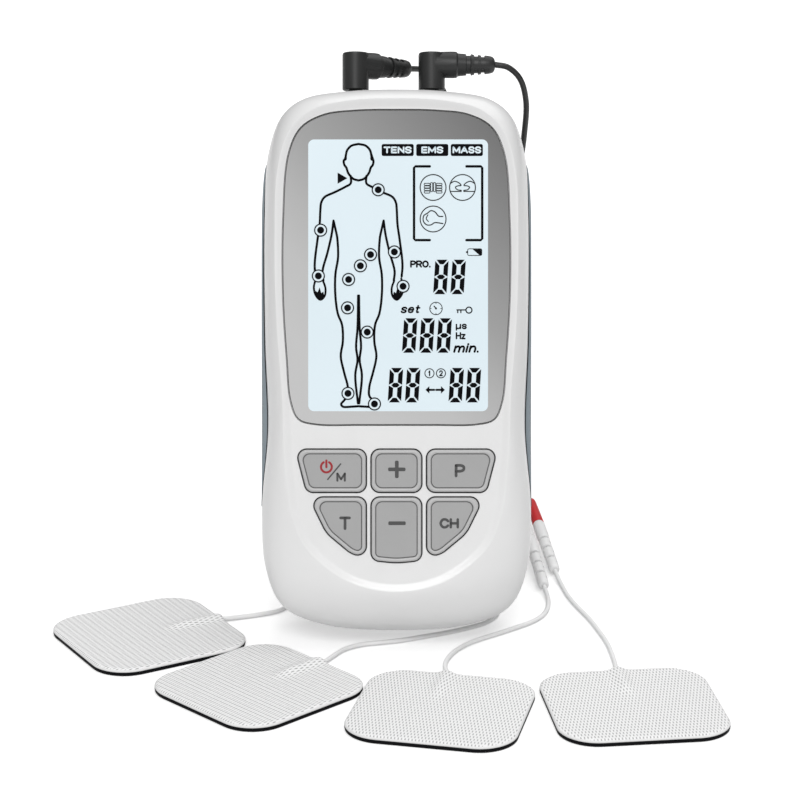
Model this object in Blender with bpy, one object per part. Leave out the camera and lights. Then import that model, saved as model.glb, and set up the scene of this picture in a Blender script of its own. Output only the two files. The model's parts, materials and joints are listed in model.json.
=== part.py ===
"""A two-channel TENS unit with its leads and four electrode pads.

Sizes are in millimetres and are scaled to metres when a mesh is made. The unit is drawn in its own
frame: X to the right, Y from the face into the case, Z up the face, with the origin in the middle of
the face. The frame then leans back on the fold-out stand. Pads and leads lie on the table, Z = 0.
"""

import math

import bmesh
import bpy
import numpy as np
from mathutils import Vector

MM = 0.001

# Driving dimensions of the unit
LEAN = math.radians(17.0)
FACE_HEIGHT = 70.45  # from the table to the middle of the face, when the unit leans on its stand
SET_OFFSET = (4.55, 10.07)  # the unit's place on the table, so that the whole set is centred on the origin
CASE_DEPTH = 28.5
CASE_HALF_HEIGHT = 66.05
PARTING_DEPTH = 13.0
PARTING_GAP = 0.3
WALL = 2.0
BACK_ROUND = 4.0
GRIP_REACH = 33.15  # from the middle of the case to the grip's outer edge
SHOULDER_DEPTH = 9.0  # where the sloping rim of the face meets the straight side
RIDGE_DEPTH = 0.4
PLATEAU_DEPTH = 0.9
RING_POINTS = 56

# The case's outline from the front, right half, from the top middle to the bottom middle
CASE_HALF = (
    (0, 66.05), (12, 65.6), (22.8, 63.7), (28.0, 59.6), (31.3, 50.5), (32.2, 35), (32.1, 5), (31.4, -17),
    (32.9, -37), (31.85, -51.5), (27.7, -60.3), (17.9, -64.7), (0, -66.05),
)
# The ridge that bounds the flat of the face
RIDGE_HALF = (
    (0, 63.0), (12, 62.4), (20.5, 60.2), (26, 55), (28.7, 46), (29.4, 30), (29.0, 10), (27.6, -9),
    (27.3, -20), (26.6, -30), (25.6, -37), (22.3, -45.3), (14.3, -52.4), (7.5, -55.3), (0, -56.3),
)
LENS_HALF = (
    (0, 60.2), (10, 60.0), (17.5, 59.0), (23.0, 55.9), (26.0, 49.5), (27.3, 33), (27.3, 15), (26.4, 0),
    (25.5, -10), (23.6, -14.4), (19.5, -15.6), (9, -15.75), (0, -15.75),
)
LENS_DEPTHS = (0.85, 1.9)
RECESS_DEPTH = 2.2
FACE_WALL_DEPTH = 3.2
SCREEN_CENTRE = (0.4, 20.3)
SCREEN_HALF = (21.7, 32.8)

KEY_RADIUS = 2.0
KEY_CLEARANCE = 0.3
KEY_TOP_DEPTH = 0.3
KEY_BOTTOM_DEPTH = 2.9
KEY_BEVEL = 1.25

JACK_DEPTH = 18.0
JACK_PLACES = (-10.15, 8.72)
PLUG_HEIGHT = 73.3  # the middle of the plug's horizontal body, up the face
PLUG_YAW = (math.radians(31.8), 0.0)

HINGE_HEIGHT = 14.0
HINGE_DEPTH = 26.7
STAND_HALF_WIDTH = 17.7
STAND_LENGTH = 79.0
STAND_THICKNESS = 2.4
STAND_PIN_RADIUS = 1.0
STAND_OPEN = math.radians(32.75)
STAND_RECESS_DEPTH = 25.0
DOOR_HALF_WIDTH = 17.5
DOOR_SPAN = (-53.2, -3.0)
DOOR_DEPTHS = (23.8, 24.9)
DOOR_TRAVEL = 8.0
CELL_RADIUS = 5.25
CELL_PITCH = 11.2
CELL_SPAN = (-49.0, -4.5)
CELL_DEPTH = 17.4
SCREW_PLACES = ((-20.5, 59.6), (20.5, 59.6), (-25.5, -40.0), (25.5, -40.0))

# Driving dimensions of the pads and leads
PAD_SIDE = 40.0
PAD_RADIUS = 9.0
GEL_HEIGHT = 0.9
CLOTH_HEIGHTS = (1.2, 1.7)
PADS = (  # middle on the table, and turn in degrees
    ((-61.2, -4.6), -59.5),
    ((-32.4, -36.2), -46.0),
    ((10.3, -49.9), -12.5),
    ((54.9, -47.6), 6.9),
)
TOUCH = 0.3
TRUNK_DIAMETER = 1.5
LEG_DIAMETER = 1.2
COIL_MIDDLES = ((-12.0, 95.0), (18.0, 95.0))
COIL_RADII = (5.1, 11.4)
COIL_HEIGHTS = (0.05, 6.1)
COIL_EXIT = (10.575, 6.95)  # where the lead leaves the coil, from the coil's middle
SPLITTER_LENGTH = 10.2
SOCKET_LENGTH = 26.0
PIN_LENGTH = 14.0
SOCKETS = (  # the end where the pad's wire goes in, and the open end
    ((-26.0, 30.0, 1.75), (-26.0, 56.0, 1.75)),
    ((24.5, 30.0, 1.75), (23.1, 55.96, 1.75)),
    ((38.1, 26.9, 1.7), (35.69, 52.56, 5.11)),
    ((41.55, 38.3, 1.7), (38.6, 63.91, 5.1)),
)


# Materials and objects


def material(name, colour, roughness, metallic=0.0):
    made = bpy.data.materials.new(name)
    made.use_nodes = True
    shader = made.node_tree.nodes["Principled BSDF"]
    shader.inputs["Base Color"].default_value = (*colour, 1.0)
    shader.inputs["Roughness"].default_value = roughness
    shader.inputs["Metallic"].default_value = metallic
    made.diffuse_color = (*colour, 1.0)
    return made


def clear_scene():
    for obj in list(bpy.data.objects):
        bpy.data.objects.remove(obj)


def empty(name, parent=None, location=(0, 0, 0), tilt=0.0):
    made = bpy.data.objects.new(name, None)
    bpy.context.scene.collection.objects.link(made)
    made.parent = parent
    made.location = Vector(location) * MM
    made.rotation_euler.x = tilt
    return made


def add(name, mesh, look, parent, location=(0, 0, 0), tilt=0.0):
    """Links one sub-part. Its mesh is drawn around its own origin."""
    made = bpy.data.objects.new(name, mesh)
    bpy.context.scene.collection.objects.link(made)
    made.parent = parent
    made.location = Vector(location) * MM
    made.rotation_euler.x = tilt
    mesh.materials.append(look)
    mesh.shade_smooth()
    mesh.set_sharp_from_angle(angle=math.radians(35))
    return made


def combine(target, mesh, operation):
    """Joins a mesh to a sub-part, or cuts it out, with a Boolean. The mesh shares the sub-part's origin."""
    helper = bpy.data.objects.new(f"{target.name}_{operation.lower()}", mesh)
    bpy.context.scene.collection.objects.link(helper)
    helper.parent = target.parent
    helper.location = target.location
    helper.rotation_euler = target.rotation_euler
    helper.hide_render = True
    helper.display_type = "WIRE"
    boolean = target.modifiers.new(operation.title(), "BOOLEAN")
    boolean.operation = operation
    boolean.object = helper


def cut(target, *meshes):
    combine(target, together(meshes), "DIFFERENCE")


def join(target, *meshes):
    for mesh in meshes:
        combine(target, mesh, "UNION")


# Outlines, as lists of (x, z) in the unit's frame


def through(points, closed, steps=12):
    """A smooth line through the points, finely divided (centripetal Catmull-Rom)."""
    knots = [np.array(point, float) for point in points]
    count = len(knots)
    line = []
    for i in range(count if closed else count - 1):
        if closed:
            before, start, end, after = (knots[(i + k) % count] for k in (-1, 0, 1, 2))
        else:
            start, end = knots[i], knots[i + 1]
            before = knots[i - 1] if i else 2 * start - end
            after = knots[i + 2] if i + 2 < count else 2 * end - start
        spans = [math.sqrt(np.linalg.norm(b - a)) for a, b in ((before, start), (start, end), (end, after))]
        lead_in = (start - before) / spans[0] - (end - before) / (spans[0] + spans[1])
        lead_out = (after - end) / spans[2] - (after - start) / (spans[1] + spans[2])
        pull_in = (end - start) + spans[1] * lead_in
        pull_out = (end - start) + spans[1] * lead_out
        for t in np.arange(steps) / steps:
            line.append(
                (2 * t**3 - 3 * t**2 + 1) * start
                + (t**3 - 2 * t**2 + t) * pull_in
                + (3 * t**2 - 2 * t**3) * end
                + (t**3 - t**2) * pull_out
            )
    line.append(line[0] if closed else knots[-1])
    return np.array(line)


def evenly(line, count, closed):
    """Points at equal distances along a finely divided line."""
    lengths = np.linalg.norm(np.diff(line, axis=0), axis=1)
    travelled = np.concatenate([[0.0], np.cumsum(lengths)])
    places = np.linspace(0.0, travelled[-1], count + 1 if closed else count)
    if closed:
        places = places[:-1]
    return np.stack([np.interp(places, travelled, axis) for axis in line.T], axis=1)


def mirrored_loop(half, count=RING_POINTS):
    """The closed outline whose right half is given, clockwise from its top middle."""
    left = [(-x, z) for x, z in reversed(half[1:-1])]
    return evenly(through(list(half) + left, closed=True), count, closed=True)


def inset(loop, distance):
    """The loop moved inwards, or outwards where the distance is negative. The loop runs clockwise."""
    along = np.roll(loop, -1, axis=0) - np.roll(loop, 1, axis=0)
    along /= np.linalg.norm(along, axis=1)[:, None]
    inwards = np.stack([along[:, 1], -along[:, 0]], axis=1)
    return loop + distance * inwards


def between(first, second, share):
    return first * (1 - share) + second * share


def rounded(corners, steps=4):
    """An outline with each corner (x, z, radius) turned into an arc."""
    points = []
    count = len(corners)
    for i, (x, z, radius) in enumerate(corners):
        here = np.array((x, z), float)
        back = np.array(corners[i - 1][:2]) - here
        ahead = np.array(corners[(i + 1) % count][:2]) - here
        back /= np.linalg.norm(back)
        ahead /= np.linalg.norm(ahead)
        half_angle = math.acos(np.clip(back @ ahead, -1, 1)) / 2
        run = radius / math.tan(half_angle)
        middle = here + (back + ahead) / np.linalg.norm(back + ahead) * radius / math.sin(half_angle)
        first, last = here + back * run - middle, here + ahead * run - middle
        turn = math.pi - 2 * half_angle
        for step in range(steps + 1):
            t = step / steps
            weights = math.sin((1 - t) * turn), math.sin(t * turn)
            points.append(middle + (first * weights[0] + last * weights[1]) / math.sin(turn))
    return np.array(points)


def rectangle(half_width, bottom, top, radius=0.6, x=0.0):
    """A clockwise rounded rectangle."""
    left, right = x - half_width, x + half_width
    return rounded([(left, top, radius), (right, top, radius), (right, bottom, radius), (left, bottom, radius)])


def mirrored(corners):
    return [(-x, z, radius) for x, z, radius in reversed(corners)]


# Meshes


def together(meshes):
    """One mesh that holds several closed shapes."""
    if len(meshes) == 1:
        return meshes[0]
    whole = bmesh.new()
    for mesh in meshes:
        whole.from_mesh(mesh)
    made = bpy.data.meshes.new(meshes[0].name)
    whole.to_mesh(made)
    whole.free()
    return made


def loft(name, rings):
    """A closed skin over rings that hold the same number of (x, y, z) points, capped at both ends."""
    shape = bmesh.new()
    rows = [[shape.verts.new(Vector(point) * MM) for point in ring] for ring in rings]
    for low, high in zip(rows, rows[1:]):
        for i in range(len(low)):
            j = (i + 1) % len(low)
            shape.faces.new((low[i], low[j], high[j], high[i]))
    shape.faces.new(list(reversed(rows[0])))
    shape.faces.new(rows[-1])
    bmesh.ops.recalc_face_normals(shape, faces=shape.faces)
    made = bpy.data.meshes.new(name)
    shape.to_mesh(made)
    shape.free()
    return made


def at_depth(loop, depth):
    return [(x, depth, z) for x, z in loop]


def plate(name, loop, front, back):
    """An outline of the face, carried from one depth to another."""
    return loft(name, [at_depth(loop, front), at_depth(loop, back)])


def block(name, half_width, depths, heights, x=0.0):
    radius = min(0.6, (heights[1] - heights[0]) / 4)
    return plate(name, rectangle(half_width, *heights, radius=radius, x=x), *depths)


def turned(name, start, end, profile, sides=12):
    """A turned shape. Its profile holds (distance from start, radius) along the line from start to end."""
    start, end = Vector(start), Vector(end)
    axis = (end - start).normalized()
    across = axis.orthogonal().normalized()
    over = axis.cross(across)
    rings = []
    for distance, radius in profile:
        middle = start + axis * distance
        angles = (2 * math.pi * i / sides for i in range(sides))
        rings.append([middle + (across * math.cos(a) + over * math.sin(a)) * radius for a in angles])
    return loft(name, rings)


def rod(name, start, end, radius, sides=12):
    length = (Vector(end) - Vector(start)).length
    return turned(name, start, end, [(0, radius), (length, radius)], sides)


# The case


def key_outlines():
    """The six keys: a slanted pair beside the plus key, and a round-bottomed pair beside the minus key."""
    r = KEY_RADIUS
    power = [(-24.25, -21.8, r), (-7.4, -21.8, r), (-7.4, -32.0, r), (-21.6, -32.0, r)]
    plus = [(-6.0, -21.8, r), (6.0, -21.8, r), (6.0, -32.0, r), (-6.0, -32.0, r)]
    time = [(-21.0, -33.35, r), (-7.4, -33.35, r), (-7.4, -48.05, r), (-11.2, -46.55, 5), (-16.8, -41.9, 8)]
    minus = [(-6.0, -33.35, r), (6.0, -33.35, r), (6.0, -48.45, r), (0, -49.05, 20), (-6.0, -48.45, r)]
    return {
        "key_power_mode": power,
        "key_plus": plus,
        "key_program": mirrored(power),
        "key_time": time,
        "key_minus": minus,
        "key_channel": mirrored(time),
    }


def front_shell(unit, look):
    case = mirrored_loop(CASE_HALF)
    ridge = mirrored_loop(RIDGE_HALF)
    rings = [at_depth(case, PARTING_DEPTH), at_depth(case, SHOULDER_DEPTH)]
    for share in (0.9, 0.65, 0.35):
        fall = 1 - math.sqrt(1 - share**2)
        depth = RIDGE_DEPTH + (SHOULDER_DEPTH - RIDGE_DEPTH) * fall
        rings.append(at_depth(between(ridge, case, share), depth))
    rings += [at_depth(ridge, RIDGE_DEPTH), at_depth(inset(ridge, 3.0), PLATEAU_DEPTH)]
    shell = add("front_shell", loft("front_shell", rings), look, unit)

    inner_case, inner_ridge = inset(case, WALL), inset(ridge, WALL)
    hollow = [
        at_depth(inner_case, PARTING_DEPTH + 1),
        at_depth(inner_case, SHOULDER_DEPTH + 0.5),
        at_depth(between(inner_ridge, inner_case, 0.7), 5.2),
        at_depth(inner_ridge, FACE_WALL_DEPTH),
    ]
    cut(shell, loft("hollow", hollow))

    lens = inset(mirrored_loop(LENS_HALF), -TOUCH)
    cut(shell, plate("lens_recess", lens, -1, RECESS_DEPTH))
    x, z = SCREEN_CENTRE
    half_width, half_height = SCREEN_HALF
    window = rectangle(half_width, z - half_height, z + half_height, radius=1.4, x=x)
    keyholes = [inset(rounded(corners), -KEY_CLEARANCE) for corners in key_outlines().values()]
    through_depths = (RECESS_DEPTH - 1, FACE_WALL_DEPTH + 1)
    openings = [plate("window", window, *through_depths)]
    openings += [plate("keyhole", hole, -1, through_depths[1]) for hole in keyholes]
    cut(shell, *openings)

    for x, z in SCREW_PLACES:
        join(shell, rod("boss", (x, 2.6, z), (x, PARTING_DEPTH, z), 2.9))
    cut(shell, *[rod("pilot", (x, 6.5, z), (x, PARTING_DEPTH + 1, z), 1.5, 10) for x, z in SCREW_PLACES])
    return shell


def back_shell(unit, look):
    case = mirrored_loop(CASE_HALF)
    rings = [at_depth(case, PARTING_DEPTH + PARTING_GAP)]
    for degrees in (0, 25, 50, 72, 90):
        angle = math.radians(degrees)
        depth = CASE_DEPTH - BACK_ROUND * (1 - math.sin(angle))
        rings.append(at_depth(inset(case, BACK_ROUND * (1 - math.cos(angle))), depth))
    shell = add("back_shell", loft("back_shell", rings), look, unit)
    floor_depth = STAND_RECESS_DEPTH - WALL
    inner = inset(case, WALL)
    cut(shell, loft("hollow", [at_depth(inner, PARTING_DEPTH - 1), at_depth(inner, floor_depth)]))

    tray = block("tray", 18.4, (10.7, STAND_RECESS_DEPTH - 0.2), (-54.0, -2.2))
    track_floor = block("track_floor", 18.4, (21.8, STAND_RECESS_DEPTH - 0.2), (-63.0, -53.0))
    join(shell, tray, track_floor)
    for x, z in SCREW_PLACES:
        join(shell, rod("post", (x, PARTING_DEPTH + PARTING_GAP, z), (x, floor_depth + 1, z), 2.9))

    stand_bed = block("stand_bed", 18.4, (STAND_RECESS_DEPTH, CASE_DEPTH + 2), (-72, HINGE_HEIGHT + 3))
    track = block("track", 17.8, (23.5, STAND_RECESS_DEPTH + 0.5), (DOOR_SPAN[0] - DOOR_TRAVEL - 0.3, -2.7))
    cell_bay = block("cell_bay", 16.8, (11.8, 24.0), (-51.7, -4.2))
    cut(shell, stand_bed)
    cut(shell, track)
    cut(shell, cell_bay)

    hinge_holes = rod("hinge_holes", (-20.8, HINGE_DEPTH, HINGE_HEIGHT), (20.8, HINGE_DEPTH, HINGE_HEIGHT), 1.3)
    jack_holes = [rod("jack_hole", (x, JACK_DEPTH, 60), (x, JACK_DEPTH, 70), 3.8, 16) for x in JACK_PLACES]
    cut(shell, hinge_holes, *jack_holes)
    counterbores = [rod("head", (x, 25.2, z), (x, CASE_DEPTH + 1, z), 2.9) for x, z in SCREW_PLACES]
    shanks = [rod("shank", (x, PARTING_DEPTH - 1, z), (x, 26, z), 1.5, 10) for x, z in SCREW_PLACES]
    cut(shell, *counterbores)
    cut(shell, *shanks)
    return shell


def side_grip(unit, look, side, name):
    """A thin strip along the side of the case, widest in its middle and pointed at both ends."""
    case = mirrored_loop(CASE_HALF, 400)
    right = case[: len(case) // 2]
    rings = []
    for share in np.linspace(0.0, 1.0, 15):
        z = 48.0 - 84.0 * share
        swell = math.sin(math.pi * (0.02 + 0.96 * share))
        surface = np.interp(-z, -right[:, 1], right[:, 0]) + TOUCH
        thickness = max(0.08, GRIP_REACH - surface) * min(1.0, 0.02 + 7.0 * share) ** 0.6
        half_depth = 5.0 * swell**0.5
        middle = 14.2
        section = [(0, -1), (0.75, -1), (1, -0.7), (1, 0.7), (0.75, 1), (0, 1)]
        rings.append([(side * (surface + thickness * out), middle + half_depth * deep, z) for out, deep in section])
    return add(name, loft(name, rings), look, unit)


def keys(unit, look):
    made = []
    for name, corners in key_outlines().items():
        loop = rounded(corners)
        middle = (loop.min(axis=0) + loop.max(axis=0)) / 2
        centred = loop - middle
        travel_depth = (KEY_TOP_DEPTH + KEY_BOTTOM_DEPTH) / 2
        rings = [
            at_depth(centred, KEY_BOTTOM_DEPTH - travel_depth),
            at_depth(centred, KEY_TOP_DEPTH + 0.5 - travel_depth),
            at_depth(inset(centred, 0.4), KEY_TOP_DEPTH - travel_depth),
            at_depth(inset(centred, KEY_BEVEL), KEY_TOP_DEPTH + 0.15 - travel_depth),
        ]
        place = (middle[0], travel_depth, middle[1])
        made.append(add(name, loft(name, rings), look, unit, place))
    return made


def display_parts(unit, looks):
    x, z = SCREEN_CENTRE
    lens = plate("display_lens", mirrored_loop(LENS_HALF), *LENS_DEPTHS)
    glass = rectangle(22.6, z - 34.8, z + 34.5, radius=0.5, x=x - 0.4)
    light = rectangle(22.2, z - 34.3, z + 34.0, radius=0.5, x=x - 0.4)
    add("display_lens", lens, looks["lens"], unit)
    add("lcd_panel", plate("lcd_panel", glass, 3.5, 5.3), looks["glass"], unit)
    add("backlight_panel", plate("backlight_panel", light, 5.6, 7.4), looks["white"], unit)


def keypad_mat(unit, look):
    right = [(22.5, -20.4, 1), (21, -36, 3), (13.5, -46.5, 3), (7, -50.6, 2)]
    corners = right + mirrored(right)
    add("keypad_mat", plate("keypad_mat", rounded(corners, 2), 3.7, 8.0), look, unit)


def main_board(unit, looks):
    board_depths = (8.4, 9.6)
    board = add("main_board", block("main_board", 21.5, board_depths, (-50, 56.2)), looks["board"], unit)
    chips = (
        block("controller", 5.0, (9.3, 10.4), (-14, -4), x=-12),
        block("driver", 3.0, (9.3, 10.3), (-1, 5), x=10),
        block("buzzer", 4.5, (9.3, 10.4), (40, 49), x=-14.5),
        block("capacitors", 2.5, (9.3, 15.0), (12, 17), x=15),
    )
    join(board, *chips)
    wings = block("bobbin", 7.5, (9.9, 11.4), (24, 38))
    transformer = add("pulse_transformer", wings, looks["black"], unit)
    join(transformer, block("core", 6.0, (11.0, 18.5), (26, 36)), block("winding", 7.2, (12.5, 17.0), (28, 34)))


def output_jacks(unit, look):
    for number, x in enumerate(JACK_PLACES, 1):
        name = f"output_jack_{number}"
        jack = add(name, block(name, 3.7, (9.9, 21.6), (50.0, 62.8), x=x), look, unit)
        join(jack, rod("collar", (x, JACK_DEPTH, 62), (x, JACK_DEPTH, 66.4), 3.4, 16))
        cut(jack, rod("bore", (x, JACK_DEPTH, 51.6), (x, JACK_DEPTH, 68), 2.1))


def battery_parts(unit, looks):
    bottom, top = CELL_SPAN
    length = top - bottom
    profile = [(0, CELL_RADIUS), (length - 0.9, CELL_RADIUS), (length - 0.9, 2.7), (length, 2.7)]
    strip = block("strip", 16.4, (12.4, 22.6), (-51.4, -50.9))
    strip = add("battery_contact_strip", strip, looks["metal"], unit)
    for number in (1, 2, 3):
        x = (number - 2) * CELL_PITCH
        name = f"battery_cell_{number}"
        cell = turned(name, (x, CELL_DEPTH, bottom), (x, CELL_DEPTH, top), profile, 16)
        add(name, cell, looks["cell"], unit)
        spring = [(0, 3.2), (1.7, 2.0)]
        join(strip, turned("spring", (x, CELL_DEPTH, -51.05), (x, CELL_DEPTH, 0), spring))


def battery_door(unit, look):
    low, high = DOOR_SPAN
    middle = ((low + high) / 2, sum(DOOR_DEPTHS) / 2)
    half_thickness = (DOOR_DEPTHS[1] - DOOR_DEPTHS[0]) / 2
    reach = (high - low) / 2
    panel = block("battery_door", DOOR_HALF_WIDTH, (-half_thickness, half_thickness), (-reach, reach))
    door = add("battery_door", panel, look, unit, (0, middle[1], middle[0]))
    ribs = [
        block("rib", 7.0, (half_thickness - 0.2, half_thickness + 0.25), (z, z + 0.9))
        for z in (-reach + 6.0, -reach + 8.2, -reach + 10.4)
    ]
    join(door, together(ribs))
    return door


def stand(unit, look):
    """The stand is drawn folded, around its hinge, and then opened."""
    half = STAND_THICKNESS / 2
    angles = [math.radians(a) for a in (0, 45, 90, 135, 180)]
    top = [(-half * math.cos(a), half * math.sin(a)) for a in angles]
    foot_middle = half - STAND_LENGTH
    foot = [(half * math.cos(a), foot_middle - half * math.sin(a)) for a in angles]
    side = top + foot
    rings = [[(x, y, z) for y, z in side] for x in (-STAND_HALF_WIDTH, STAND_HALF_WIDTH)]
    mesh = loft("stand", rings)
    made = add("stand", mesh, look, unit, (0, HINGE_DEPTH, HINGE_HEIGHT), STAND_OPEN)
    join(made, rod("pins", (-20.2, 0, 0), (20.2, 0, 0), STAND_PIN_RADIUS, 10))
    cut(made, block("window", 9.5, (-3, 3), (-62, -16)))
    return made


def screws(unit, look):
    profile = [(0, 1.0), (0.6, 1.2), (17.6, 1.2), (17.6, 2.5), (19.2, 2.5), (19.6, 1.8)]
    for number, (x, z) in enumerate(SCREW_PLACES, 1):
        name = f"case_screw_{number}"
        add(name, turned(name, (x, 7.9, z), (x, 30, z), profile, 10), look, unit)


# Leads and pads


def tube(name, points, diameter, look, parent):
    """A free cord: a smooth curve through the route's points, with a point every two or three diameters."""
    line = through(points, closed=False)
    length = np.linalg.norm(np.diff(line, axis=0), axis=1).sum()
    count = max(8, min(80, round(length / (3.0 * diameter))))
    curve = bpy.data.curves.new(name, "CURVE")
    curve.dimensions = "3D"
    curve.bevel_depth = diameter / 2 * MM
    curve.bevel_resolution = 2
    curve.use_fill_caps = True
    spline = curve.splines.new("POLY")
    places = evenly(line, count, closed=False)
    spline.points.add(len(places) - 1)
    for point, place in zip(spline.points, places):
        point.co = (*(place * MM), 1.0)
    curve.materials.append(look)
    made = bpy.data.objects.new(name, curve)
    bpy.context.scene.collection.objects.link(made)
    made.parent = parent
    return made


def plug(unit, look, number):
    """A right-angled plug: a stem in the jack, and a tapered body that turns the lead sideways."""
    x = JACK_PLACES[number - 1]
    yaw = PLUG_YAW[number - 1]
    stem = [(0, 1.7), (13.9, 1.7), (13.9, 3.0), (14.4, 3.28), (22.4, 3.28), (23.2, 2.5)]
    name = f"plug_{number}"
    made = add(name, turned(name, (x, JACK_DEPTH, 53.1), (x, JACK_DEPTH, 90), stem, 14), look, unit)
    start = (x, JACK_DEPTH, PLUG_HEIGHT)
    end = (x + math.cos(yaw), JACK_DEPTH + math.sin(yaw), PLUG_HEIGHT)
    join(made, turned("boot", start, end, [(0, 2.9), (7.0, 3.1), (10.5, 2.85), (15.6, 2.3)], 14))


def lead(table, looks, number, trunk_route, leg_routes):
    name = f"lead_{number}"
    tube(f"{name}_trunk", trunk_route, TRUNK_DIAMETER, looks["black"], table)
    x, y = COIL_MIDDLES[number - 1]
    inner, outer = COIL_RADII
    low, high = COIL_HEIGHTS
    coil = rod(f"{name}_coil", (x, y, low), (x, y, high), outer, 32)
    coil = add(f"{name}_coil", coil, looks["black"], table)
    cut(coil, rod("eye", (x, y, low - 1), (x, y, high + 1), inner, 32))
    out, along = COIL_EXIT
    start = (x + out, y + along, 1.35)
    end = (x + out, y + along + SPLITTER_LENGTH, 2.25)
    profile = [(0, 1.25), (3.0, 2.1), (SPLITTER_LENGTH, 2.2)]
    add(f"{name}_splitter", turned(f"{name}_splitter", start, end, profile), looks["black"], table)
    for letter, route in zip("ab", leg_routes):
        tube(f"{name}_leg_{letter}", route, LEG_DIAMETER, looks["white"], table)


def lead_routes():
    """Each lead's trunk, from its plug to its coil, and its two legs, from the splitter to the pins."""
    trunk_1 = [
        (3.35, 47.0, 132.9), (7.2, 50.6, 131.8), (11.4, 54.6, 127.0), (14.0, 57.0, 118.0), (14.6, 58.2, 104.0),
        (13.6, 59.0, 84.0), (11.6, 59.8, 62.0), (9.2, 61.6, 42.0), (6.8, 65.2, 25.0), (4.0, 71.6, 13.4),
        (1.2, 78.4, 7.9), (-0.8, 84.2, 5.7), (-1.42, 88.9, 5.3),
    ]
    trunk_2 = [
        (24.6, 38.65, 135.3), (27.6, 38.7, 134.7), (30.6, 38.9, 131.9), (32.3, 40.2, 126.0), (32.1, 42.6, 117.0),
        (31.0, 45.6, 106.0), (30.0, 49.0, 90.0), (29.2, 52.2, 70.0), (28.6, 55.6, 49.0), (28.3, 60.4, 30.0),
        (28.2, 67.6, 16.2), (28.4, 75.6, 9.0), (28.55, 82.6, 6.1), (28.57, 88.9, 5.3),
    ]
    leg_1a = [
        (-2.3, 112.5, 2.25), (-2.7, 117.0, 1.4), (-3.6, 127.0, 0.72), (-6.0, 144.0, 0.72), (-12.0, 156.0, 0.72),
        (-19.6, 158.0, 0.72), (-25.6, 149.0, 0.72), (-27.4, 132.0, 0.72), (-27.0, 108.0, 0.72),
        (-26.2, 88.0, 0.72), (-26.0, 78.0, 1.1), (-26.0, 70.6, 1.75),
    ]
    leg_1b = [
        (-0.55, 112.5, 2.25), (-0.2, 117.0, 1.4), (0.8, 128.0, 0.72), (2.4, 136.5, 0.72), (4.2, 143.5, 0.72),
        (5.4, 146.3, 0.72), (8.2, 147.6, 0.72), (11.0, 146.3, 0.72), (12.1, 143.3, 0.72), (11.9, 138.0, 0.72),
        (10.6, 130.0, 0.72), (7.0, 119.0, 0.72), (3.8, 108.0, 0.72), (3.0, 96.0, 0.72),
        (4.2, 87.0, 0.72), (8.6, 81.2, 0.72), (14.6, 79.6, 0.72), (19.4, 78.4, 0.9), (21.9, 75.4, 1.25),
        (22.31, 70.85, 1.75),
    ]
    leg_2a = [
        (29.45, 112.5, 2.25), (29.7, 117.0, 1.4), (29.9, 128.0, 0.72), (29.4, 146.0, 0.72), (28.9, 163.0, 0.72),
        (29.75, 165.05, 0.72), (31.8, 165.9, 0.72), (33.85, 165.05, 0.72), (34.7, 163.0, 0.72), (34.6, 150.0, 0.72),
        (34.2, 132.0, 0.72),
        (34.0, 112.0, 1.2), (33.8, 98.0, 3.9), (33.6, 86.0, 6.9), (33.65, 75.0, 7.9), (34.35, 66.98, 7.02),
    ]
    leg_2b = [
        (27.7, 112.5, 2.25), (27.3, 117.0, 1.4), (25.8, 130.0, 0.72), (23.6, 152.0, 0.72), (23.2, 174.0, 0.72),
        (27.4, 186.0, 0.72), (34.0, 185.0, 0.72), (38.0, 174.0, 0.72), (37.6, 156.0, 0.72),
        (37.0, 138.0, 0.72), (36.5, 120.0, 0.9), (36.1, 108.0, 3.0), (36.0, 96.0, 6.6), (36.2, 86.3, 7.9),
        (36.94, 78.29, 7.01),
    ]
    return (trunk_1, (leg_1a, leg_1b)), (trunk_2, (leg_2a, leg_2b))


def pad_wire_routes():
    """Each pad's own wire, from the edge of the pad to its socket."""
    return (
        [
            (-43.6, 5.8, 0.95), (-39.4, 7.6, 0.7), (-34.0, 9.6, 0.7), (-29.6, 12.2, 0.7),
            (-27.2, 16.6, 0.7), (-26.2, 22.0, 0.8), (-26.0, 29.7, 1.75),
        ],
        [
            (-17.7, -22.0, 0.95), (-15.8, -18.6, 0.7), (-12.8, -13.6, 0.7), (-8.9, -10.6, 0.7),
            (-4.1, -9.2, 0.7), (0.9, -7.8, 0.7), (5.8, -5.7, 0.7), (11.4, -3.2, 0.7),
            (17.0, -0.1, 0.7), (22.4, 4.0, 0.7), (25.2, 9.0, 0.7), (25.9, 15.0, 0.7), (25.2, 22.0, 0.8),
            (24.52, 29.7, 1.75),
        ],
        [
            (12.3, -29.4, 0.95), (11.8, -26.0, 0.7), (11.8, -22.0, 0.7), (13.0, -17.5, 0.7),
            (15.0, -13.4, 0.7), (17.7, -9.7, 0.7), (21.2, -6.4, 0.7), (25.0, -3.4, 0.7),
            (29.5, 0.4, 0.7), (34.0, 4.6, 0.7), (36.9, 9.0, 0.7), (38.4, 14.2, 0.7), (38.8, 20.0, 0.9),
            (38.13, 26.6, 1.66),
        ],
        [
            (52.45, -27.3, 0.95), (52.6, -21.6, 0.7), (51.7, -9.6, 0.7), (50.0, -0.5, 0.7),
            (48.3, 6.9, 0.7), (45.9, 14.9, 0.7), (44.1, 22.1, 0.7), (42.7, 31.0, 0.85), (41.58, 38.0, 1.66),
        ],
    )


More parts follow.
